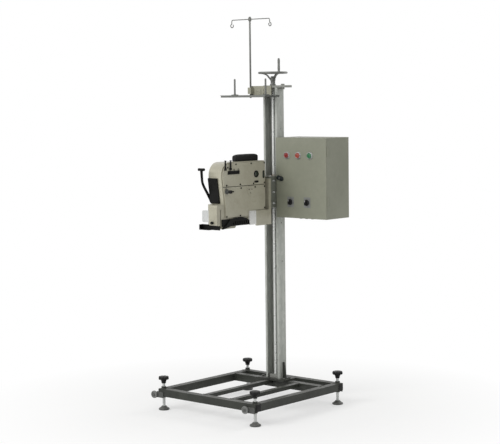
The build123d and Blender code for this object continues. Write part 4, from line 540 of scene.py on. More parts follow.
def metal(
    name, colour, dark, rough, brush=(1.0, 1.0, 1.0), lines=600.0, depth=0.00008,
    stain=(0.12, 0.10, 0.08), stained=0.2, metallic=1.0, shine=0.5,
):
    """Bare metal: brushed or ground lines, cloudy tarnish, a few stains."""
    tree, shader = new_material(name, Metallic=metallic, Specular_IOR_Level=shine)
    cloudy = maths(tree, "MULTIPLY", effect(tree, PATCHES, Scale=16.0), 0.6)
    ground = noise(tree, object_place(tree, brush), lines, 3.0, 0.6)
    share = maths(tree, "ADD", cloudy, maths(tree, "MULTIPLY", ground, 0.4), True)
    mark = specks(tree, 42.0, 7.0, 0.7, 0.6, 0.78, stained)
    skin = blend(tree, mark, blend(tree, share, colour, dark), stain)
    gloss = span(tree, share, 0.0, 1.0, *rough)
    gloss = maths(tree, "ADD", gloss, maths(tree, "MULTIPLY", mark, 0.4))
    surface(tree, shader, skin, gloss, ground, depth)


def galvanised(name):
    """Weathered zinc on the column: spangles, long streaks, rubbed edges and a few dark stains."""
    tree, shader = new_material(name, Metallic=0.2, Specular_IOR_Level=0.4)
    tone, streaks = (effect(tree, SPANGLE, label, Scale=70.0) for label in ("Tone", "Streaks"))
    skin = blend(tree, tone, (0.36, 0.375, 0.345), (0.47, 0.485, 0.45))
    skin = blend(tree, maths(tree, "MULTIPLY", streaks, 0.55), skin, (0.29, 0.30, 0.275))
    skin = blend(tree, effect(tree, WEAR, Radius=0.002, Amount=0.5), skin, (0.55, 0.56, 0.55))
    skin = blend(tree, specks(tree, 30.0, 8.0, 0.75, 0.63, 0.76, 0.5), skin, (0.16, 0.14, 0.11))
    gloss = span(tree, tone, 0.0, 1.0, 0.36, 0.5)
    gloss = maths(tree, "ADD", gloss, maths(tree, "MULTIPLY", streaks, 0.12))
    surface(tree, shader, skin, gloss, effect(tree, GRAIN, Scale=260.0), 0.0002)


def plastic(name, colour, rubbed, rough=(0.42, 0.6), grain=1500.0, dust=0.3, shine=0.5):
    """Moulded plastic or rubber: fine texture, paler rubbed edges, dust in the open faces."""
    painted(
        name, colour, tuple(c * 0.75 for c in colour), bare=rubbed, rough=rough, grain=grain,
        depth=0.00015, radius=0.0012, dust=dust, patch=22.0, shine=shine,
        dust_colour=(0.24, 0.23, 0.21),
    )


def lens(name, colour, deep):
    """A tinted plastic lens: deeper at the rim, with a faint painted glow in its own colour, glossy."""
    # the lens colour also feeds the emission: a faint painted glow on every cap and the sight glass,
    # with no lamp behind them
    tree, shader = new_material(name, Coat_Weight=0.6, Coat_Roughness=0.08, Emission_Strength=0.03)
    facing = add(tree, "ShaderNodeLayerWeight", Blend=0.35).outputs["Facing"]
    cloud = effect(tree, PATCHES, Scale=120.0)
    skin = blend(tree, maths(tree, "MULTIPLY", facing, 0.8, True), colour, deep)
    skin = blend(tree, maths(tree, "MULTIPLY", cloud, 0.25), skin, deep)
    tree.links.new(skin, shader.inputs["Emission Color"])
    gloss = span(tree, cloud, 0.0, 1.0, 0.14, 0.28)
    surface(tree, shader, skin, gloss, effect(tree, GRAIN, Scale=500.0), 0.0001)


painted(
    "frame_paint", (0.034, 0.037, 0.03), (0.022, 0.024, 0.02), bare=(0.13, 0.125, 0.11), wear=0.5,
    dust=0.16, spots=0.3, spot_colour=(0.08, 0.066, 0.05), shine=0.3, dust_colour=(0.2, 0.19, 0.17),
)
galvanised("column_steel")
metal(
    "plate_steel", (0.19, 0.195, 0.18), (0.12, 0.123, 0.115), rough=(0.34, 0.52), brush=(1, 1, 0.12),
    stained=0.3, stain=(0.07, 0.06, 0.05), metallic=0.45, shine=0.35,
)
metal(
    "cap_steel", (0.30, 0.305, 0.28), (0.215, 0.22, 0.2), rough=(0.36, 0.54), brush=(0.2, 1, 1),
    stained=0.3, metallic=0.35, shine=0.35,
)
plastic("latch_black", (0.008, 0.013, 0.014), (0.05, 0.055, 0.055), dust=0.08, shine=0.3)
metal(
    "bright_steel", (0.66, 0.67, 0.66), (0.48, 0.49, 0.48), rough=(0.2, 0.36), lines=900.0,
    stained=0.12, metallic=0.9,
)
# screw_steel is near-white and only half metallic: a painted highlight that keeps the long screw bright
# in the shade of the column's channel
metal(
    "screw_steel", (0.86, 0.87, 0.85), (0.7, 0.71, 0.69), rough=(0.22, 0.38), lines=900.0,
    stained=0.15, stain=(0.34, 0.3, 0.24), metallic=0.5,
)
painted(
    "dark_steel", (0.10, 0.103, 0.096), (0.062, 0.064, 0.06), bare=(0.3, 0.3, 0.28),
    rough=(0.4, 0.55), wear=0.5, dust=0.14, grain=420.0, shine=0.35,
)
painted(
    "carriage_paint", (0.175, 0.185, 0.155), (0.125, 0.13, 0.11), bare=(0.36, 0.35, 0.32), wear=0.45,
    grain=420.0, depth=0.0004, spots=0.4,
)
painted(
    "head_enamel", (0.40, 0.385, 0.30), (0.335, 0.318, 0.243), bare=(0.25, 0.235, 0.19),
    rough=(0.26, 0.42), grain=230.0, depth=0.0005, dust=0.08, patch=13.0, coat=0.25,
    spots=0.35, spot_colour=(0.17, 0.14, 0.085),
)
plastic("black_plastic", (0.009, 0.009, 0.009), (0.045, 0.045, 0.042), dust=0.1, shine=0.2)
painted(
    "black_enamel", (0.007, 0.007, 0.0065), (0.0045, 0.0045, 0.004), bare=(0.12, 0.11, 0.095),
    rough=(0.4, 0.54), wear=0.44, dust=0.035, shine=0.12, dust_colour=(0.2, 0.19, 0.17),
)
painted(
    "box_paint", (0.215, 0.221, 0.168), (0.19, 0.196, 0.148), bare=(0.14, 0.14, 0.12),
    rough=(0.42, 0.54), grain=1100.0, depth=0.0003, wear=0.3, dust=0.12, patch=5.0, spots=0.12,
    spot_colour=(0.12, 0.115, 0.09),
)
painted("beige_paint", (0.34, 0.335, 0.26), (0.29, 0.285, 0.22), spots=0.2)
metal("bronze", (0.55, 0.36, 0.16), (0.34, 0.22, 0.11), rough=(0.3, 0.5))
plastic(
    "rubber", (0.015, 0.015, 0.015), (0.05, 0.048, 0.046), rough=(0.62, 0.8), grain=600.0, dust=0.12,
    shine=0.2,
)
lens("red_cap", (0.23, 0.018, 0.016), (0.05, 0.003, 0.003))
lens("amber_cap", (0.33, 0.055, 0.034), (0.1, 0.01, 0.006))
lens("green_cap", (0.012, 0.15, 0.052), (0.002, 0.035, 0.012))
lens("sight_glass", (0.008, 0.02, 0.009), (0.003, 0.006, 0.003))
plastic("grey_plastic", (0.2, 0.204, 0.196), (0.34, 0.34, 0.33), grain=900.0)
painted("bare_white", (0.72, 0.72, 0.70), (0.62, 0.62, 0.60), wear=0.2, dust=0.1, grain=1200.0)
metal(
    "aluminium", (0.74, 0.74, 0.72), (0.56, 0.56, 0.545), rough=(0.34, 0.52), lines=260.0,
    depth=0.0003, metallic=0.6,
)


# ---------------------------------------------------------------- dressed CAD nodes
SOFTENED = {
    "base_frame": 1.2, "wheel_brackets": 0.7, "column": 0.5, "column_foot": 0.9, "top_plate": 0.9,
    "screw_bearings": 0.9, "stand_bracket": 0.7, "thread_tray": 0.4, "control_box": 0.95,
    "carriage": 1.6, "lift_nut": 0.8, "head_bracket": 1.4, "head_housing": 2.0, "head_cover": 1.2,
    "needle_guard": 1.0, "guard_holder": 0.8, "throat_plate": 0.3, "feed_guard": 0.8, "motor": 0.8,
    "drive_belt": 0.5, "thread_cutter": 0.6, "control_box_door": 0.95, "door_seal": 0.8,
    "door_bezels": 0.4, "main_shaft": 0.5, "motor_pulley": 0.5, "needle_bar": 0.3, "looper": 0.3,
    "feed_dog": 0.15, "presser_foot": 0.5,
}
OWN_FINISH = {"top_plate": "cap_steel", "screw_bearings": "cap_steel"}
HINGE_SIDE = 0.3765  # metres: past it the box fittings are hinge leaves, in the paint of the box
for node, width in SOFTENED.items():
    dressed(node, width, OWN_FINISH.get(node))
dressed("box_fittings", 0.6, keep=lambda at: at.x < HINGE_SIDE)
dressed("box_fittings", 0.4, "box_paint", lambda at: at.x > HINGE_SIDE, "hinge_leaves")


# ---------------------------------------------------------------- base and column, in millimetres
TUBE = 40.0
FOOT_X, FOOT_Y = 323.0, 340.0
BEAM_LOW = 75.0
BEAM_TOP, BEAM_MIDDLE = BEAM_LOW + TUBE, BEAM_LOW + TUBE / 2
BEAM_INNER, BEAM_OUTER = about(FOOT_X, TUBE / 2)
WHEEL_PLATE = FOOT_Y + TUBE / 2
RAILS_X = (-37.0, 150.0)
FOOT_PLATE_TOP = 125.0
COLUMN_X, COLUMN_Y = -16.0, 229.0
COLUMN_SIDES = about(COLUMN_X, 50.0)
COLUMN_FACES = about(COLUMN_Y, 30.0)
SCREW_AT = (COLUMN_X, 226.0)
FEET = {
    f"{row}_{side}": (x, y)
    for row, y in (("front", -FOOT_Y), ("rear", FOOT_Y))
    for side, x in (("left", -FOOT_X), ("right", FOOT_X))
}


def arch(first, last, low, radius=2.4):
    """A bead over a tube: up at one point, across its top and down at another."""
    return weld([(*first, low), (*first, BEAM_TOP), (*last, BEAM_TOP), (*last, low)], radius)


def frame_welds():
    """Beads where the base frame's tubes, rails, bushes and wheel brackets meet."""
    parts = []
    joint = FOOT_Y - TUBE / 2
    low, high = about(COLUMN_Y, TUBE / 2)
    for side in (-1, 1):
        inner, outer = side * BEAM_INNER, side * BEAM_OUTER
        for y in (-joint, joint):
            parts.append(arch((inner, y), (outer, y), BEAM_LOW, 2.0))
        parts.append(arch((inner, low), (inner, high), BEAM_LOW))
    for x in RAILS_X:
        for y in (-joint, low):
            parts.append(arch((x - 15, y), (x + 15, y), 96, 2.0))
    for at in FEET.values():
        parts.append(weld(hoop("Z", at, 13.2, BEAM_TOP, 110), 2.2, closed=True))
    for x, y in FEET.values():
        out = np.sign(y) * WHEEL_PLATE
        for z, radius in ((97.5, 2.2), (75.5, 1.8)):
            parts.append(weld([(x - 30, out, z), (x + 14, out, z)], radius))
    piece("frame_welds", parts, "stand", "frame_paint")


def tube_caps():
    """Pressed-in plastic caps: a rounded plate with a shallow raised panel."""
    parts = []
    for side in (-1, 1):
        for y in (-FOOT_Y, FOOT_Y):
            for half, near, far, edge in ((19.4, 0.0, 2.4, 1.0), (13.5, 2.0, 3.6, 0.7)):
                limits = sorted((side * (BEAM_OUTER + near), side * (BEAM_OUTER + far)))
                plate = rectangle(about(y, half), about(BEAM_MIDDLE, half), 3)
                parts.append(slab("X", plate, *limits, edge))
    piece("tube_caps", parts, "stand", "black_plastic")


def column_welds():
    """Beads round the column's foot and up its gussets, and a washer under each foot bolt."""
    left, right = COLUMN_SIDES
    front, rear = COLUMN_FACES
    z = FOOT_PLATE_TOP
    outline = [
        (left + 15, front), (left, front), (left, rear),
        (right, rear), (right, front), (right - 15, front),
    ]
    washer = [(5.2, 0), (9.8, 0), (10.3, 0.4), (10.3, 1.2), (9.8, 1.6), (5.2, 1.6)]
    parts = [weld([(*corner, z) for corner in outline], 3.0, 4.0)]
    for side, edge in ((-1, left), (1, right)):
        for y in about(COLUMN_Y, 4):
            parts.append(weld([(edge + side * 20, y, z), (edge, y, z), (edge, y, z + 88)], 2.4, 3.6))
        for y in about(COLUMN_Y, 11.5):
            parts.append(turned("Z", (COLUMN_X + side * 84, y), washer, 32, base=z))
    piece("column_welds", parts, "stand", "plate_steel")


def lifting_screw():
    """The long screw: a trapezoidal thread between plain ends."""
    lower = [(0, 130), (9.2, 130), (10, 131), (10, 151), (8.2, 152.5), (8.1, 153)]
    upper = [(8.1, 1687), (8.2, 1687.5), (10, 1689), (10, 1761.2), (9.2, 1762), (0, 1762)]
    parts = [threaded("Z", SCREW_AT, 10.0, 1.9, 5.0, 152.0, 1688.0, 20)]
    parts += [turned("Z", SCREW_AT, end, 32) for end in (lower, upper)]
    # the near-white screw_steel is a painted highlight for the screw in the channel's shade
    stand_in("lead_screw", "lifting_screw", parts, finish="screw_steel")


def hand_wheel():
    """A dished wheel: hub, round rim, three spokes that sweep out and flatten, grip pin, end nut."""
    rim_radius, rim_height, first_spoke = 74.0, 1790.0, -24
    hub = [
        (10.1, 1722.3), (15.5, 1722.3), (16.2, 1723), (16.2, 1727), (13.4, 1729.5), (12.6, 1736),
        (12.6, 1744), (14.2, 1749), (14.8, 1755), (13.6, 1760), (11.8, 1762.3), (10.1, 1762.3),
    ]
    rim = hoop("Z", SCREW_AT, rim_radius, rim_height, 96)
    parts = [turned("Z", SCREW_AT, hub), carried(rim, circle(6.0, 16), True)]
    sweep = ((10, 1752), (20, 1764), (30, 1776), (42, 1783.5), (56, 1787.5), (72, 1789.5))
    for turn in (first_spoke, first_spoke + 120, first_spoke + 240):
        line = bent([(*polar(SCREW_AT, turn, out), height) for out, height in sweep], 9)
        swell = 1.12 - 0.15 * np.sin(pi * np.linspace(0, 1, len(line)))
        parts.append(carried(line, circle(1.0, 14) * (5.6, 4.6), scale=swell))
    pin = [
        (0, 0), (7, 0), (6.4, 7), (6, 11.7), (3, 11.7), (3, 72.3), (5.5, 72.3), (5.5, 74.6), (3.6, 76.3),
        (0, 76.3),
    ]
    pin_at = polar(SCREW_AT, first_spoke, rim_radius)
    parts.append(turned("Z", pin_at, pin, 28, base=rim_height))
    parts.append(hexagon_screw("Z", SCREW_AT, 12.5, 1762.4, 9.0))
    stand_in("handwheel", "hand_wheel", parts, 50)
    grip = [
        (3.1, 12), (5.2, 12), (6.3, 13.2), (6.9, 18), (7.0, 24), (6.5, 34), (6.2, 44), (6.6, 56),
        (6.8, 63), (6.2, 69), (4.8, 72), (3.1, 72),
    ]
    grip = turned("Z", pin_at, grip, 32, base=rim_height)
    stand_in("handwheel_grip", "wheel_grip_turned", [grip], 45)


def hollows(angle, radius):
    """A ripple of eight finger hollows: a steep cosine bite that grows towards the knob's rim."""
    bite = ((1 + np.cos(8 * angle)) / 2) ** 2.5
    return 1 - 0.125 * bite * np.clip((radius - 18) / 7, 0, 1)


def levelling_foot(corner):
    """Threaded rod with its lobed knob, and the pad: each turned, the knob with finger hollows."""
    at, body = FEET[corner], "screw_" + corner
    knob = [
        (8.1, 143), (11, 143), (11.6, 144), (12.6, 151), (15.2, 159), (19, 163), (24, 163.2),
        (27, 164.6), (28, 167), (28, 174), (27.2, 177.6), (24.5, 180), (16, 180), (14.6, 179),
        (9, 178.6), (8.4, 179.4), (0, 179.6),
    ]
    pad = [
        (0, 0), (26.5, 0), (28.6, 1.2), (29, 3), (29, 6.5), (28, 8.6), (25.5, 9.2), (24.6, 9.6),
        (22, 11.4), (16.5, 16), (13.6, 19.4), (13, 20.2), (12.2, 21), (8.2, 21), (8.1, 20), (8.1, 8),
        (0, 8),
    ]
    rod = threaded("Z", at, 8.0, 0.9, 2.0, 8.3, 143.5, 16)
    tip = turned("Z", at, [(0, 8.2), (7.1, 8.2), (7.2, 8.4)], 16)
    node = "levelling_screw_" + corner
    piece("levelling_rod_" + corner, [rod, tip], body, "bright_steel", node=node, sharp=40)
    knob = turned("Z", at, knob, 96, hollows)
    piece("levelling_knob_" + corner, [knob], body, "black_plastic", sharp=42)
    stand_in("levelling_pad_" + corner, "foot_pad_" + corner, [turned("Z", at, pad, 64)])


def transport_wheel(corner):
    """A moulded wheel: rounded tread, a dished web with six ribs, and a raised hub."""
    x, y = FEET[corner]
    at, out, width = (x - 42, 82.0), int(np.sign(y)), 21.0
    half = [
        (5.1, 4.6), (8.6, 4.6), (9.4, 5.4), (9.9, 7.6), (14.4, 7.6), (15.2, 5.2), (17.4, 4.5),
        (19.2, 5.3), (20, 7.4),
    ]
    profile = half + [(radius, width - along) for radius, along in half[::-1]]
    parts = [turned("Y", at, profile, 56, base=out * WHEEL_PLATE, way=out)]
    limits = sorted((out * (WHEEL_PLATE + 5.4), out * (WHEEL_PLATE + 15.4)))
    parts += [spoke("Y", at, 60 * rib + 15, 9.3, 15, 0.9, *limits, 0.3) for rib in range(6)]
    stand_in("transport_wheel_" + corner, "wheel_" + corner, parts)


# ---------------------------------------------------------------- sewing head
HEAD_RIGHT, HEAD_LEFT = 44.0, -49.8
SHAFT_AT = (-40.0, 1170.0)
TENSION_AT = (-228.0, 1174.0)
SIGHT_AT = (10.0, 1255.0)
GAUGE_AT = (69.0, 1251.0)
MOTOR_AT = (105.0, 1200.0)
MOTOR_END = -216.0


def on_head(at, profile, count, ripple=None):
    """A turned shape whose heights count outwards from the head's right side."""
    return turned("X", at, profile, count, ripple, HEAD_RIGHT)


def covers_and_screws():
    """Screws and the shaft cap on the head's right side, and the needle guard's screws in front."""
    places = (
        (-214, 1298), (-150, 1313), (-30, 1313), (76, 1312), (76, 1206), (-12, 1206), (-118, 1206),
        (-224, 1206), (-228, 1187), (-112, 1187), (0, 1187), (76, 1187), (76, 1073), (-9, 1043),
        (-120, 1043), (-226, 1043),
    )
    parts = [half for at in places for half in slotted_screw("X", at, 4.6, HEAD_RIGHT - 0.2, 2.6)]
    piece("cover_screws", parts, "head", "black_enamel", sharp=40)
    cap = [
        (0, 0), (23, 0), (23.6, 0.6), (23.6, 2.4), (22.6, 3.4), (19.5, 3.6), (17.8, 2.8), (8, 2.8),
        (0, 2.9),
    ]
    piece("shaft_cap", [on_head(SHAFT_AT, cap, 56)], "head", "head_enamel", sharp=40)
    screws = [
        socket_screw("X", polar(SHAFT_AT, turn, 12.6), 2.4, HEAD_RIGHT + 2.7, 2.0)
        for turn in (30, 150, 270)
    ]
    piece("shaft_cap_screws", screws, "head", "black_enamel")
    parts = [socket_screw("Y", (x, 1040), 4.0, -265.9, 3.0, -1) for x in (-38, 32)]
    for x in (-40, 4):
        for z in (1126, 1232):
            lean = -268 + (1244 - z) / 132 * 18
            head = [(0, 2), (4.4, 2), (4.4, -0.6), (3.4, -1.8), (0, -2.2)]
            parts.append(turned("Y", (x, z), head, 24, base=lean))
    piece("guard_screws", parts, "head", "black_enamel")


def oil_sights():
    """Sight glass in a stepped ring, level gauge in a frame, and the oblong filler cap."""
    ring = [(13.2, 0), (18.5, 0), (18.5, 2), (17.4, 3.6), (15.4, 4.4), (13.8, 3.6), (13.2, 2.4)]
    rim = rectangle(about(GAUGE_AT[0], 7.5), about(GAUGE_AT[1], 21), 7.4)
    cap = rectangle(about(SIGHT_AT[0], 15), about(1215, 5.5), 5.4)
    parts = [on_head(SIGHT_AT, ring, 56), slab("X", rim, HEAD_RIGHT, HEAD_RIGHT + 2.2)]
    parts.append(slab("X", cap, HEAD_RIGHT, HEAD_RIGHT + 5.6, 2.2))
    piece("sight_rims", parts, "head", "black_enamel", node="oil_windows")
    glass = [(0, 3.4), (6, 3.2), (10.5, 2.4), (13.4, 1.2), (13.4, 0.2)]
    tube = rectangle(about(GAUGE_AT[0], 4), about(GAUGE_AT[1], 17), 4)
    parts = [on_head(SIGHT_AT, glass, 48), slab("X", tube, HEAD_RIGHT + 1.6, HEAD_RIGHT + 3.6, 1.6)]
    piece("sight_panes", parts, "head", "sight_glass", close=True)


def carrying_handle():
    """A moulded handle: a squared-off ellipse at each station, lower and narrower towards the ends.

    Under the top and along the sides a clipped cosine raises finger ribs, one every 7.5 mm.
    """
    front, rear, x_middle, foot = -121.0, 58.0, 4.0, 1325.0
    y_middle = (front + rear) / 2
    y = np.linspace(front, rear, 60)
    off = 2 * (y - front) / (rear - front) - 1
    rise = 37 - 7 * np.abs(off) ** 8 - 0.9 * off**2
    wide = 13 * (1 - 0.1 * np.abs(off) ** 6)
    t = np.linspace(0, 2 * pi, 40, endpoint=False)[None, :]
    across = np.sign(np.cos(t)) * np.abs(np.cos(t)) ** 0.42
    over = np.sign(np.sin(t)) * np.abs(np.sin(t)) ** 0.5
    ribs = 0.55 * np.clip(np.cos(2 * pi * (y - y_middle) / 7.5) - 0.2, 0, 1)
    ribs = (ribs * (np.abs(y - y_middle) < 62))[:, None]
    x = x_middle + (wide[:, None] - ribs * (over > -0.2)) * across
    z = foot + rise[:, None] / 2 * (1 + over) - ribs * (over > 0.5)
    points = np.stack([x, np.broadcast_to(y[:, None], x.shape), z], -1).reshape(-1, 3)
    moulding = (points, grid(*x.shape, wrap_columns=True, lids=True))
    stand_in("carry_handle", "handle_moulding", [moulding], 50)


def thread_tensioner():
    """Tension post with dished discs, a coil spring, a knurled nut, thread posts and guide strips."""
    inner = [(3, 4.6), (8, 4.8), (11.6, 6.2), (13, 5), (13, 4.2), (11.4, 5.2), (8, 4), (3, 3.9)]
    outer = [(3, 7.2), (8, 7.2), (11.6, 6.4), (13, 7.6), (13, 8.4), (11.4, 7.4), (8, 8.2), (3, 8.2)]
    discs = [on_head(TENSION_AT, profile, 48) for profile in (inner, outer)]
    stand_in("tension_post", "tension_discs", discs, 60)
    turn = np.linspace(0, 2 * pi * 4.5, 150)
    share = turn / turn[-1]
    radius = 7.6 - 2.4 * share
    along = HEAD_RIGHT + 9.2 + 12 * share
    coil = place("X", TENSION_AT, radius * np.cos(turn), radius * np.sin(turn), along)
    piece("tension_spring", [carried(coil, circle(0.8, 8))], "head", "dark_steel", sharp=60)
    post = [(0, 0), (9, 0), (9.6, 0.6), (9.6, 2.6), (8.6, 3.6), (3, 3.8), (3, 39), (2.2, 40), (0, 40)]
    parts = [on_head(TENSION_AT, post, 32)]
    thread_post = [
        (4.4, 0), (4.4, 33), (3.4, 34.4), (3.4, 36.4), (5.8, 37.6), (6, 39), (5, 41), (0, 41)
    ]
    for y in (-237.0, -196.0):
        parts.append(brick((HEAD_RIGHT, 53), about(y, 6), (1284, 1296), 1.4))
        parts.append(turned("Z", (48.5, y), thread_post, 28, base=1295))
    parts.append(brick((HEAD_RIGHT, 48), (-214, -171), (1168, 1174), 0.8))
    parts.append(brick((HEAD_RIGHT, 48), (-215, -125), (1262, 1280), 1.2))
    for y in (-203.0, -170.0, -137.0):
        parts.append(carried(hoop("X", (y, 1284.5), 4.4, 50.5, 28), circle(1.0, 8), True))
        parts.append(on_head((y, 1271), [(0, 3), (3.2, 3), (3.2, 5.4), (2.4, 6.2), (0, 6.2)], 20))
    for y in (-206.0, -180.0):
        parts.append(on_head((y, 1171), [(0, 3), (2.4, 3), (2.4, 6), (1.6, 6.8), (0, 6.8)], 20))
    piece("thread_guides", parts, "head", "black_enamel", sharp=45)
    nut = [
        (3.1, 22.4), (7.6, 22.4), (8.6, 23.2), (9, 24.4), (9, 33.6), (8.6, 35.2), (7.4, 36.4),
        (3.1, 36.4),
    ]
    nut = on_head(TENSION_AT, nut, 104, knurled(26, 0.045, 8.2))
    stand_in("tension_knob", "tension_nut_knurled", [nut], 50)


def presser_lever_shape():
    """The hand lever: a rounded flat bar through its crank, swelling at the pin and the finger bar."""
    x, pivot, finger = -57, (-236, 1126), (-306, 1290)
    crank = (pivot, (-262, 1163), (-288, 1200), (-300, 1224), (-304, 1258), finger)
    line = bent([(x, *at) for at in crank], 12)
    slim = 1.06 - 0.16 * np.sin(pi * np.linspace(0, 1, len(line)))
    parts = [carried(line, rectangle((-4, 4), (-7.5, 7.5), 2.6, 24), scale=slim)]
    hub = [
        (0, -61), (8.4, -61), (9.3, -60), (9.3, -54), (8.4, -53), (4.95, -53), (4.95, -42), (0, -42)
    ]
    half = [(0, -21), (5.2, -21), (7.2, -19.6), (7.5, -17), (7.0, -5)]
    bar = half + [(radius, -along) for radius, along in half[::-1]]
    parts.append(turned("X", pivot, hub, 36))
    parts.append(turned("X", finger, bar, 36, base=x))
    stand_in("presser_lever", "lever_bar", parts)


# ---------------------------------------------------------------- control box
DOOR_FACE = 180.0
PUSH_BUTTONS = {"red": (116.0, 1349.0), "amber": (193.0, 1349.0), "green": (273.0, 1349.0)}
SELECTORS = {"selector_left": (139.0, 1100.0), "selector_right": (252.0, 1100.0)}
LATCH_AT = (69.0, 1225.0)
HINGE_AT = (381.0, 190.2)
MOUNTING_FACE = 365.0
RAIL_FRONT = 357.0


def on_door(at, profile, count, ripple=None):
    """A turned shape whose heights count from the door's face towards the operator."""
    return turned("Y", at, profile, count, ripple, DOOR_FACE, -1)


def push_buttons():
    """Domed caps with a raised rim, and the bezel rings round them."""
    cap = [
        (0, 10.4), (7, 10.3), (10.8, 9.7), (11.6, 10.6), (12.8, 11), (14, 10), (14.5, 8.4),
        (14.5, -16), (0, -16),
    ]
    bezel = [
        (14.8, 0), (14.8, 5.8), (15.6, 6.4), (17, 6.2), (18.4, 4.6), (19.6, 2.4), (20.2, 0.6),
        (20.2, 0),
    ]
    for colour, at in PUSH_BUTTONS.items():
        stand_in(colour + "_button", colour + "_cap", [on_door(at, cap, 48)])
    rings = [on_door(at, bezel, 64) for at in PUSH_BUTTONS.values()]
    piece("button_rings", rings, "box_door", "bright_steel", sharp=40)


def selectors():
    """Selector knobs: a knurled skirt and a tapering finger grip with its white mark."""
    skirt = [
        (0, 10.6), (12.6, 10.6), (14.8, 9.9), (16.2, 8.6), (16.5, 5.2), (14.4, 4.9), (14.4, -18),
        (0, -18),
    ]
    for node, (x, z) in SELECTORS.items():
        grip = rectangle(about(x, 4.6), about(z, 14), 4.2)
        mark = rectangle(about(x, 0.9), (z + 3, z + 13), 0.5)
        parts = [on_door((x, z), skirt, 108, knurled(36, 0.02, 15))]
        parts.append(slab("Y", grip, DOOR_FACE - 21.8, DOOR_FACE - 9, 1.8))
        stand_in(node, node + "_knob", parts, 42)
        mark = slab("Y", mark, DOOR_FACE - 22.2, DOOR_FACE - 21, 0.15)
        piece(node + "_mark", [mark], NODE_BODY[node], NODE_SLOT[node], "bare_white")


def latch_handle():
    """A swinging latch: a tilted stadium handle with a ridge, its lock cylinder and its bolt."""
    tilt = radians(-16)

    def stadium(half_length, half_height):
        radius = half_height - 0.2
        outline = rectangle(about(0, half_length), about(0, half_height), radius)
        return outline @ np.array([(cos(tilt), sin(tilt)), (-sin(tilt), cos(tilt))]) + LATCH_AT

    parts = [
        slab("Y", stadium(22.6, 12.4), DOOR_FACE - 9.5, DOOR_FACE - 0.4, 3.0, 5),
        slab("Y", stadium(18.6, 6.0), DOOR_FACE - 12, DOOR_FACE - 8.5, 2.0, 4),
        on_door(LATCH_AT, [(0, -18), (7.9, -18), (7.9, 1), (0, 1)], 32),
        brick(about(LATCH_AT[0], 7), (193.4, 197.4), (1199, 1233), 1.0),
    ]
    stand_in("door_latch", "latch_handle", parts, 42, "latch_black")
    lock = [(0, 12.1), (2, 12.1), (5.2, 12.4), (6, 11.8), (6, 10), (0, 10)]
    piece("latch_cylinder", [on_door(LATCH_AT, lock, 32)], "latch", "dark_steel")


def box_details():
    """Lobed gland nuts under the box, and the hinges' pin ends and screws."""
    dome = [(5, 0.2), (7, 0), (8.6, 1), (9.4, 4), (9.4, 7.6), (8.2, 8.4), (0, 8.4)]
    lobes = knurled(12, 0.05, 8.5)
    gland_y, gland_low = 302.7, 1000.0
    nuts = [turned("Z", (x, gland_y), dome, 72, lobes, gland_low) for x in (110.0, 150.0, 190.0)]
    piece("gland_nuts", nuts, "stand", "black_plastic", sharp=45)
    pin_end = [(0, 0), (3.2, 0), (3.2, 1.2), (2.2, 2.2), (0, 2.4)]
    parts = []
    for z in (1105.0, 1370.0):
        for up in (-1, 1):
            parts.append(turned("Z", HINGE_AT, pin_end, 20, base=z + up * 24, way=up))
        for offset in (-16.0, 0.0, 16.0):
            parts += slotted_screw("X", (207.0, z + offset), 3.2, 382.8, 1.6)
    piece("hinge_screws", parts, "stand", "box_paint", sharp=45)


def gear(name, parts, finish):
    """A piece of the switchgear, inside the box."""
    piece(name, parts, "stand", NODE_SLOT["switchgear"], finish, sharp=40)


def mounting():
    """Zinc mounting plate with its studs and nuts, and two top-hat rails."""
    parts = [brick((62, 357), (MOUNTING_FACE, MOUNTING_FACE + 2), (1038, 1419), 0.4, 5.0)]
    for at in ((72, 1048), (72, 1409), (347, 1048), (347, 1409)):
        parts.append(turned("Y", at, [(5, 1.5), (5, 8)], 24, base=MOUNTING_FACE))
        parts.append(hexagon_screw("Y", at, 6.4, MOUNTING_FACE + 0.2, 4.6, -1))
    stand_in("switchgear", "mounting_plate", parts, finish="column_steel")
    sheet, brim, crown = 1.2, RAIL_FRONT, MOUNTING_FACE
    half = [(brim, -17.5), (brim, -11.3), (crown - sheet, -11.3)]
    back = [(brim + sheet, 17.5), (brim + sheet, 12.5), (crown, 12.5)]
    hat = half + [(y, -z) for y, z in half[::-1]] + back + [(y, -z) for y, z in back[::-1]]
    rails = []
    for middle in (1312.3, 1137.1):
        rails.append(slab("X", [(y, middle + z) for y, z in hat], 74, 345, 0.15, 1))
    gear("mounting_rails", rails, "bright_steel")


def contactors():
    """Stepped contactor bases with ribs and screws: two have moving fronts, the third is a relay."""
    lefts, relay = (86.7, 157.5), 234.2
    bases, fronts, screws = [], [], []
    for left in (*lefts, relay):
        bases.append(brick((left, left + 45), (314, RAIL_FRONT), (1272.3, 1352.3), 1.2))
        bases.append(brick((left + 1.5, left + 43.5), (294, 315), (1289, 1336), 1.6, 2.4))
        for x in np.linspace(left + 1.2, left + 43.8, 5):
            for z in (1273, 1337):
                bases.append(brick(about(x, 0.8), (305, 315), (z, z + 14.5), 0.5))
        for x in np.linspace(left + 6.5, left + 38.5, 4):
            for z in (1280.5, 1344.5):
                screws += slotted_screw("Y", (x, z), 3.7, 314.2, 2.0, -1)
    for left in lefts:
        fronts.append(brick((left + 5, left + 40), (286, 295), (1294, 1331), 1.2, 2.0))
        fronts.append(brick((left + 17, left + 28), (282.6, 287), (1304, 1321), 0.8, 1.5))
    fronts.append(brick((relay + 4, relay + 41), (291, 297), (1296, 1330), 1.0, 2.0))
    gear("contactor_bodies", bases, "black_plastic")
    gear("contactor_fronts", fronts, "grey_plastic")
    gear("contactor_screws", screws, "screw_steel")
    dial = [(0, 287.8), (5.4, 287.8), (6.4, 288.6), (6.8, 291.5)]
    gear("relay_dial", [turned("Y", (relay + 30.3, 1320), dial, 32)], "bare_white")
    gear("relay_button", [turned("Y", (relay + 15.3, 1305), dial, 32)], "red_cap")


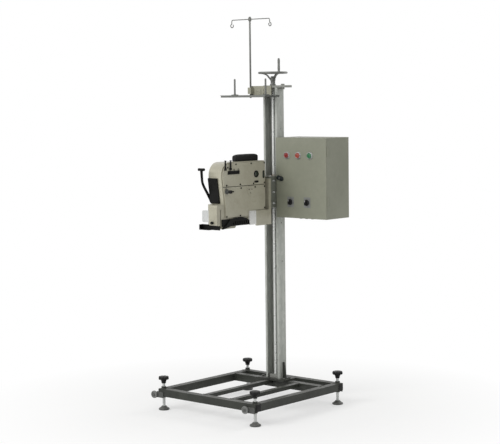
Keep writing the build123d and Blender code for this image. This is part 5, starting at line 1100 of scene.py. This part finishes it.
def terminals():
    """A strip of terminal slices with two clamp screws each."""
    middle, front, shoulder = 1137.0, 315.0, 327.0
    outline = [
        (front, -14), (front, 14), (shoulder, 23.8), (RAIL_FRONT, 23.8), (RAIL_FRONT, -23.8),
        (shoulder, -23.8),
    ]
    profile = [(y, middle + z) for y, z in outline]
    slices, clamps = [], []
    for left in np.linspace(114, 287.4, 28):
        slices.append(slab("X", profile, left, left + 5.8, 0.45, 1))
        for z in about(middle, 7):
            clamps += slotted_screw("Y", (left + 2.9, z), 2.1, front + 0.1, 0.9, -1)
    gear("terminal_slices", slices, "beige_paint")
    gear("terminal_clamps", clamps, "screw_steel")


def contact_blocks():
    """A contact block with four screws behind each button and selector, on the door's inside."""
    blocks, screws = [], []
    for x, z in (*PUSH_BUTTONS.values(), *SELECTORS.values()):
        blocks.append(brick(about(x, 17.6), (203, 234), about(z, 17.6), 1.4, 2.2))
        blocks.append(brick(about(x, 12.5), (233, 241), about(z, 10), 1.0, 1.6))
        for at in ((x - 9, z - 13.8), (x + 9, z - 13.8), (x - 9, z + 13.8), (x + 9, z + 13.8)):
            screws += slotted_screw("Y", at, 2.7, 233.9, 1.3)
    piece("contact_blocks", blocks, "box_door", "black_plastic", sharp=40)
    piece("contact_screws", screws, "box_door", "black_plastic", "screw_steel", sharp=40)


# ---------------------------------------------------------------- thread stand, carriage and motor
def tray_tab():
    """The tray's upstand in the paint of the plate it is fixed to, with its two screws."""
    parts = [brick((-106.4, -73.6), (191.6, 193.95), (1671, 1703.4), 0.3, 2.0)]
    for x in (-98.0, -82.0):
        parts += slotted_screw("Y", (x, 1690), 3.4, 191.7, 1.7, -1)
    piece("tray_tab", parts, "stand", NODE_SLOT["stand_bracket"], sharp=40)


def cone_pins():
    """Cone spindles: a spun foot and a slim pin with a rounded tip."""
    profile = [
        (0, 0), (19.4, 0), (20, 0.6), (20, 2), (18.6, 3.4), (8, 4.4), (5.2, 6.4), (5, 9), (5, 83.6),
        (4.4, 86.4), (2.6, 88), (0, 88),
    ]
    pins = [turned("Z", (x, 120.0), profile, 36, base=1671) for x in (-198.0, 22.0)]
    stand_in("cone_spindles", "cone_pins", pins)


def guide_wire():
    """The upright rod and the bent wire over it, which turns down into an open eye at each end."""
    rod_x, rod_y, wire_z, bow = -139.0, 183.0, 2080.0, 9.0
    drop_z, eye_z = 2067.0, 2049.0
    rod = [(0, 1655), (4.4, 1655), (5, 1655.8), (5, 2092.6), (4.2, 2094), (0, 2094)]
    collar = [(5, 2070), (8, 2070.4), (8.6, 2071.2), (8.6, 2088.8), (8, 2089.6), (5, 2090)]
    parts = [turned("Z", (rod_x, rod_y), profile, 32) for profile in (rod, collar)]
    corner = np.linspace(0, pi / 2, 8)[1:]
    turn = np.linspace(0, 1.72 * pi, 26)
    for x, side in ((-270.0, -1), (2.0, 1)):
        straight = np.linspace(rod_x, x - side * bow, 40)
        bend_x, bend_z = side * bow * (1 - np.sin(corner)), bow * (1 - np.cos(corner))
        line_x = [straight, x - bend_x, [x], x + side * bow * np.sin(turn)]
        line_y = [0 * straight, 0 * corner, [0.0], 3.2 * turn / turn[-1]]
        line_z = [wire_z + 0 * straight, wire_z - bend_z, [drop_z], eye_z + bow * np.cos(turn)]
        line = np.stack([np.concatenate(run) for run in (line_x, line_y, line_z)], -1)
        parts.append(carried(line + (0.0, rod_y, 0.0), circle(2.6, 10)))
    stand_in("thread_guide", "guide_wire", parts, 50)


def carriage_details():
    """Hexagon screws with set screws on the carriage's sides, socket screws and a grease nipple."""
    set_screw = [(0, 0), (3, 0), (3, 9), (2.2, 10), (0, 10)]
    nipple = [(0, 0), (4, 0), (4, 3), (2.4, 4), (2.4, 7), (3.2, 8.4), (2.6, 10), (0, 10.6)]
    top = 1235.0
    parts = []
    for side, x in zip((1, -1), COLUMN_SIDES[::-1]):
        for z in (1090.0, 1150.0, 1210.0):
            parts.append(hexagon_screw("X", (163, z), 6.4, x, 4.2, side))
            parts.append(turned("X", (163, z), set_screw, 20, base=x, way=side))
    for x in (-54.0, 22.0):
        parts.append(socket_screw("Z", (x, 150), 5.0, top, 5.0))
    parts.append(turned("Z", (COLUMN_X, 148), nipple, 24, base=top))
    piece("carriage_screws", parts, "head", "bright_steel")


def left_side():
    """Away from the operator: a flat cover with its screws, the shaft's bearing cap and two plugs."""
    cover = rectangle((-176, 34), (1234, 1302), 8)
    bearing = [(13, 0), (29, 0), (29, 3.7), (27.5, 5.2), (19, 5.2), (17, 7.7), (13, 7.7)]
    bearing = turned("X", SHAFT_AT, bearing, 64, base=HEAD_LEFT, way=-1)
    cover = slab("X", cover, HEAD_LEFT - 2.6, HEAD_LEFT, 0.8)
    piece("left_cover", [cover, bearing], "head", "head_enamel", sharp=40)
    screws = []
    for y in (-168, -71, 26):
        for z in (1242, 1294):
            screws += slotted_screw("X", (y, z), 4.0, HEAD_LEFT - 2.4, 2.4, -1)
    plug = [(0, 0), (9, 0), (9, 1.4), (0, 1.4)]
    for at in ((-196, 1206), (-205, 1112)):
        screws.append(turned("X", at, plug, 32, base=HEAD_LEFT, way=-1))
        screws.append(hexagon_screw("X", at, 7.4, HEAD_LEFT - 1.3, 4.6, -1))
    piece("left_screws", screws, "head", "black_enamel", sharp=40)


def on_motor(profile, count):
    """A turned shape whose heights count outwards from the motor's end."""
    return turned("X", MOTOR_AT, profile, count, base=MOTOR_END, way=-1)


def motor_details():
    """A domed fan cover whose radial slots and eye are black bars and a disc of painted shade; a wire
    grille over its eye; screws on its top box.
    """
    slot = NODE_SLOT["motor"]
    cover = [
        (19, 0.1), (19, 1.3), (20, 1.6), (44, 1.6), (51, 0.7), (55, -2.4), (56.6, -7), (56.8, -12),
        (56.8, -19), (56, -20),
    ]
    piece("fan_cover", [on_motor(cover, 96)], "head", slot, sharp=40)
    # black plates in the eye and along the slots: painted shade for the dark seen through the cover's
    # openings
    slot_shade = [on_motor([(0, 0.3), (19.2, 0.3), (19.2, 0.05)], 48)]
    low, high = MOTOR_END - 1.8, MOTOR_END - 1.4
    slot_shade += [spoke("X", MOTOR_AT, 15 * gap, 24, 43, 1.5, low, high, 0.1) for gap in range(24)]
    piece("fan_slot_shade", slot_shade, "head", slot, "black_plastic", sharp=40)
    low, high = MOTOR_END - 1.5, MOTOR_END - 0.4
    grille = [spoke("X", MOTOR_AT, turn, 0, 19.4, 0.9, low, high, 0.1) for turn in (30, 150, 270)]
    for radius in (4, 9, 14):
        near, far = about(radius, 1)
        grille.append(on_motor([(near, 0.4), (near, 1.6), (far, 1.6), (far, 0.4), (near, 0.4)], 56))
    piece("fan_grille", grille, "head", slot, sharp=40)
    screws = [
        socket_screw("Z", (x, y), 2.6, 1275.8, 2.2) for x in (-176.0, -138.0) for y in (87.0, 123.0)
    ]
    piece("terminal_screws", screws, "head", "bright_steel")


frame_welds()
tube_caps()
column_welds()
lifting_screw()
hand_wheel()
for corner in FEET:
    levelling_foot(corner)
    transport_wheel(corner)
covers_and_screws()
oil_sights()
carrying_handle()
thread_tensioner()
presser_lever_shape()
push_buttons()
selectors()
latch_handle()
box_details()
mounting()
contactors()
terminals()
contact_blocks()
tray_tab()
cone_pins()
guide_wire()
carriage_details()
left_side()
motor_details()


# ---------------------------------------------------------------- camera, light and floor, in metres
CAMERA_AT = (5.195, -5.930, 1.680)
CAMERA_YAW, CAMERA_PITCH, CAMERA_ROLL = radians(41.19), radians(4.943), radians(-0.676)
LENS, SENSOR, FAR_CLIP = 107.0, 36.0, 60.0
WHITE = (1.0, 1.0, 1.0)
FLOOR_RADIUS, FLOOR_Z = 14.0, -0.0005
SHADE_WITHIN, WHITE_BEYOND = 0.7, 1.6


def set_camera():
    """The eye stands at a person's height: yaw from +Y towards -X, then pitch down, then roll."""
    data = bpy.data.cameras.new("camera")
    data.lens, data.sensor_width, data.clip_end = LENS, SENSOR, FAR_CLIP
    level = cos(CAMERA_PITCH)
    ahead = np.array([-sin(CAMERA_YAW) * level, cos(CAMERA_YAW) * level, -sin(CAMERA_PITCH)])
    right = np.array([cos(CAMERA_YAW), sin(CAMERA_YAW), 0.0])
    up = np.cross(right, ahead)
    across = cos(CAMERA_ROLL) * right + sin(CAMERA_ROLL) * up
    over = cos(CAMERA_ROLL) * up - sin(CAMERA_ROLL) * right
    turned_by = Matrix([(across[i], over[i], -ahead[i]) for i in range(3)])
    camera = put("camera", data)
    camera.matrix_world = Matrix.Translation(CAMERA_AT) @ turned_by.to_4x4()
    bpy.context.scene.camera = camera


def area_lamp(name, at, aim, size, power):
    """A round white lamp at one point, turned towards another."""
    data = bpy.data.lights.new(name, "AREA")
    data.shape, data.size, data.energy = "DISK", size, power
    lamp = put(name, data)
    lamp.location = at
    lamp.rotation_euler = (Vector(aim) - Vector(at)).to_track_quat("-Z", "Y").to_euler()


def seen_directly(tree):
    """1 for what the eye sees straight on, in a mirror or through glass."""
    path = tree.nodes.new("ShaderNodeLightPath")
    seen = maths(tree, "MAXIMUM", path.outputs["Is Camera Ray"], path.outputs["Is Glossy Ray"])
    return maths(tree, "MAXIMUM", seen, path.outputs["Is Transmission Ray"])


def set_world():
    """A white sky: softer on the object than what the eye, mirrors and glass see of it."""
    world = bpy.data.worlds.new("studio")
    world.use_nodes = True
    bpy.context.scene.world = world
    tree = world.node_tree
    sky = tree.nodes["Background"]
    link(tree, sky, "Color", WHITE)
    tree.links.new(span(tree, seen_directly(tree), 0.0, 1.0, 0.62, 1.0), sky.inputs["Strength"])


def set_floor():
    """A pale disc that takes the shadow near the machine and turns into plain white further out."""
    tree, shader = new_material("floor", Base_Color=(0.86, 0.86, 0.85), Roughness=0.8)
    away = vectors(tree, "LENGTH", object_place(tree)).outputs["Value"]
    glow = add(tree, "ShaderNodeEmission", Color=WHITE, Strength=1.0)
    share = span(tree, away, SHADE_WITHIN, WHITE_BEYOND, 0.45, 1.0)
    share = maths(tree, "MULTIPLY", share, seen_directly(tree))
    mixed = add(tree, "ShaderNodeMixShader", i0=share, i1=shader.outputs[0], i2=glow.outputs[0])
    tree.links.new(mixed.outputs[0], tree.nodes["Material Output"].inputs["Surface"])
    rim = hoop("Z", (0.0, 0.0), FLOOR_RADIUS, FLOOR_Z, 96)
    mesh = bpy.data.meshes.new("floor")
    mesh.from_pydata(rim.tolist(), [], [list(range(len(rim)))])
    mesh.materials.append(FINISH["floor"])
    put("floor", mesh)


set_camera()
set_world()
set_floor()
area_lamp("key", (-1.2, -4.8, 3.9), (0.0, 0.0, 1.1), 3.4, 165.0)
area_lamp("fill", (4.6, -2.4, 3.0), (0.0, 0.0, 1.0), 3.6, 13.0)
area_lamp("back", (1.5, 4.8, 4.0), (0.0, 0.0, 1.2), 3.0, 70.0)
bpy.context.scene.view_settings.view_transform = "Standard"
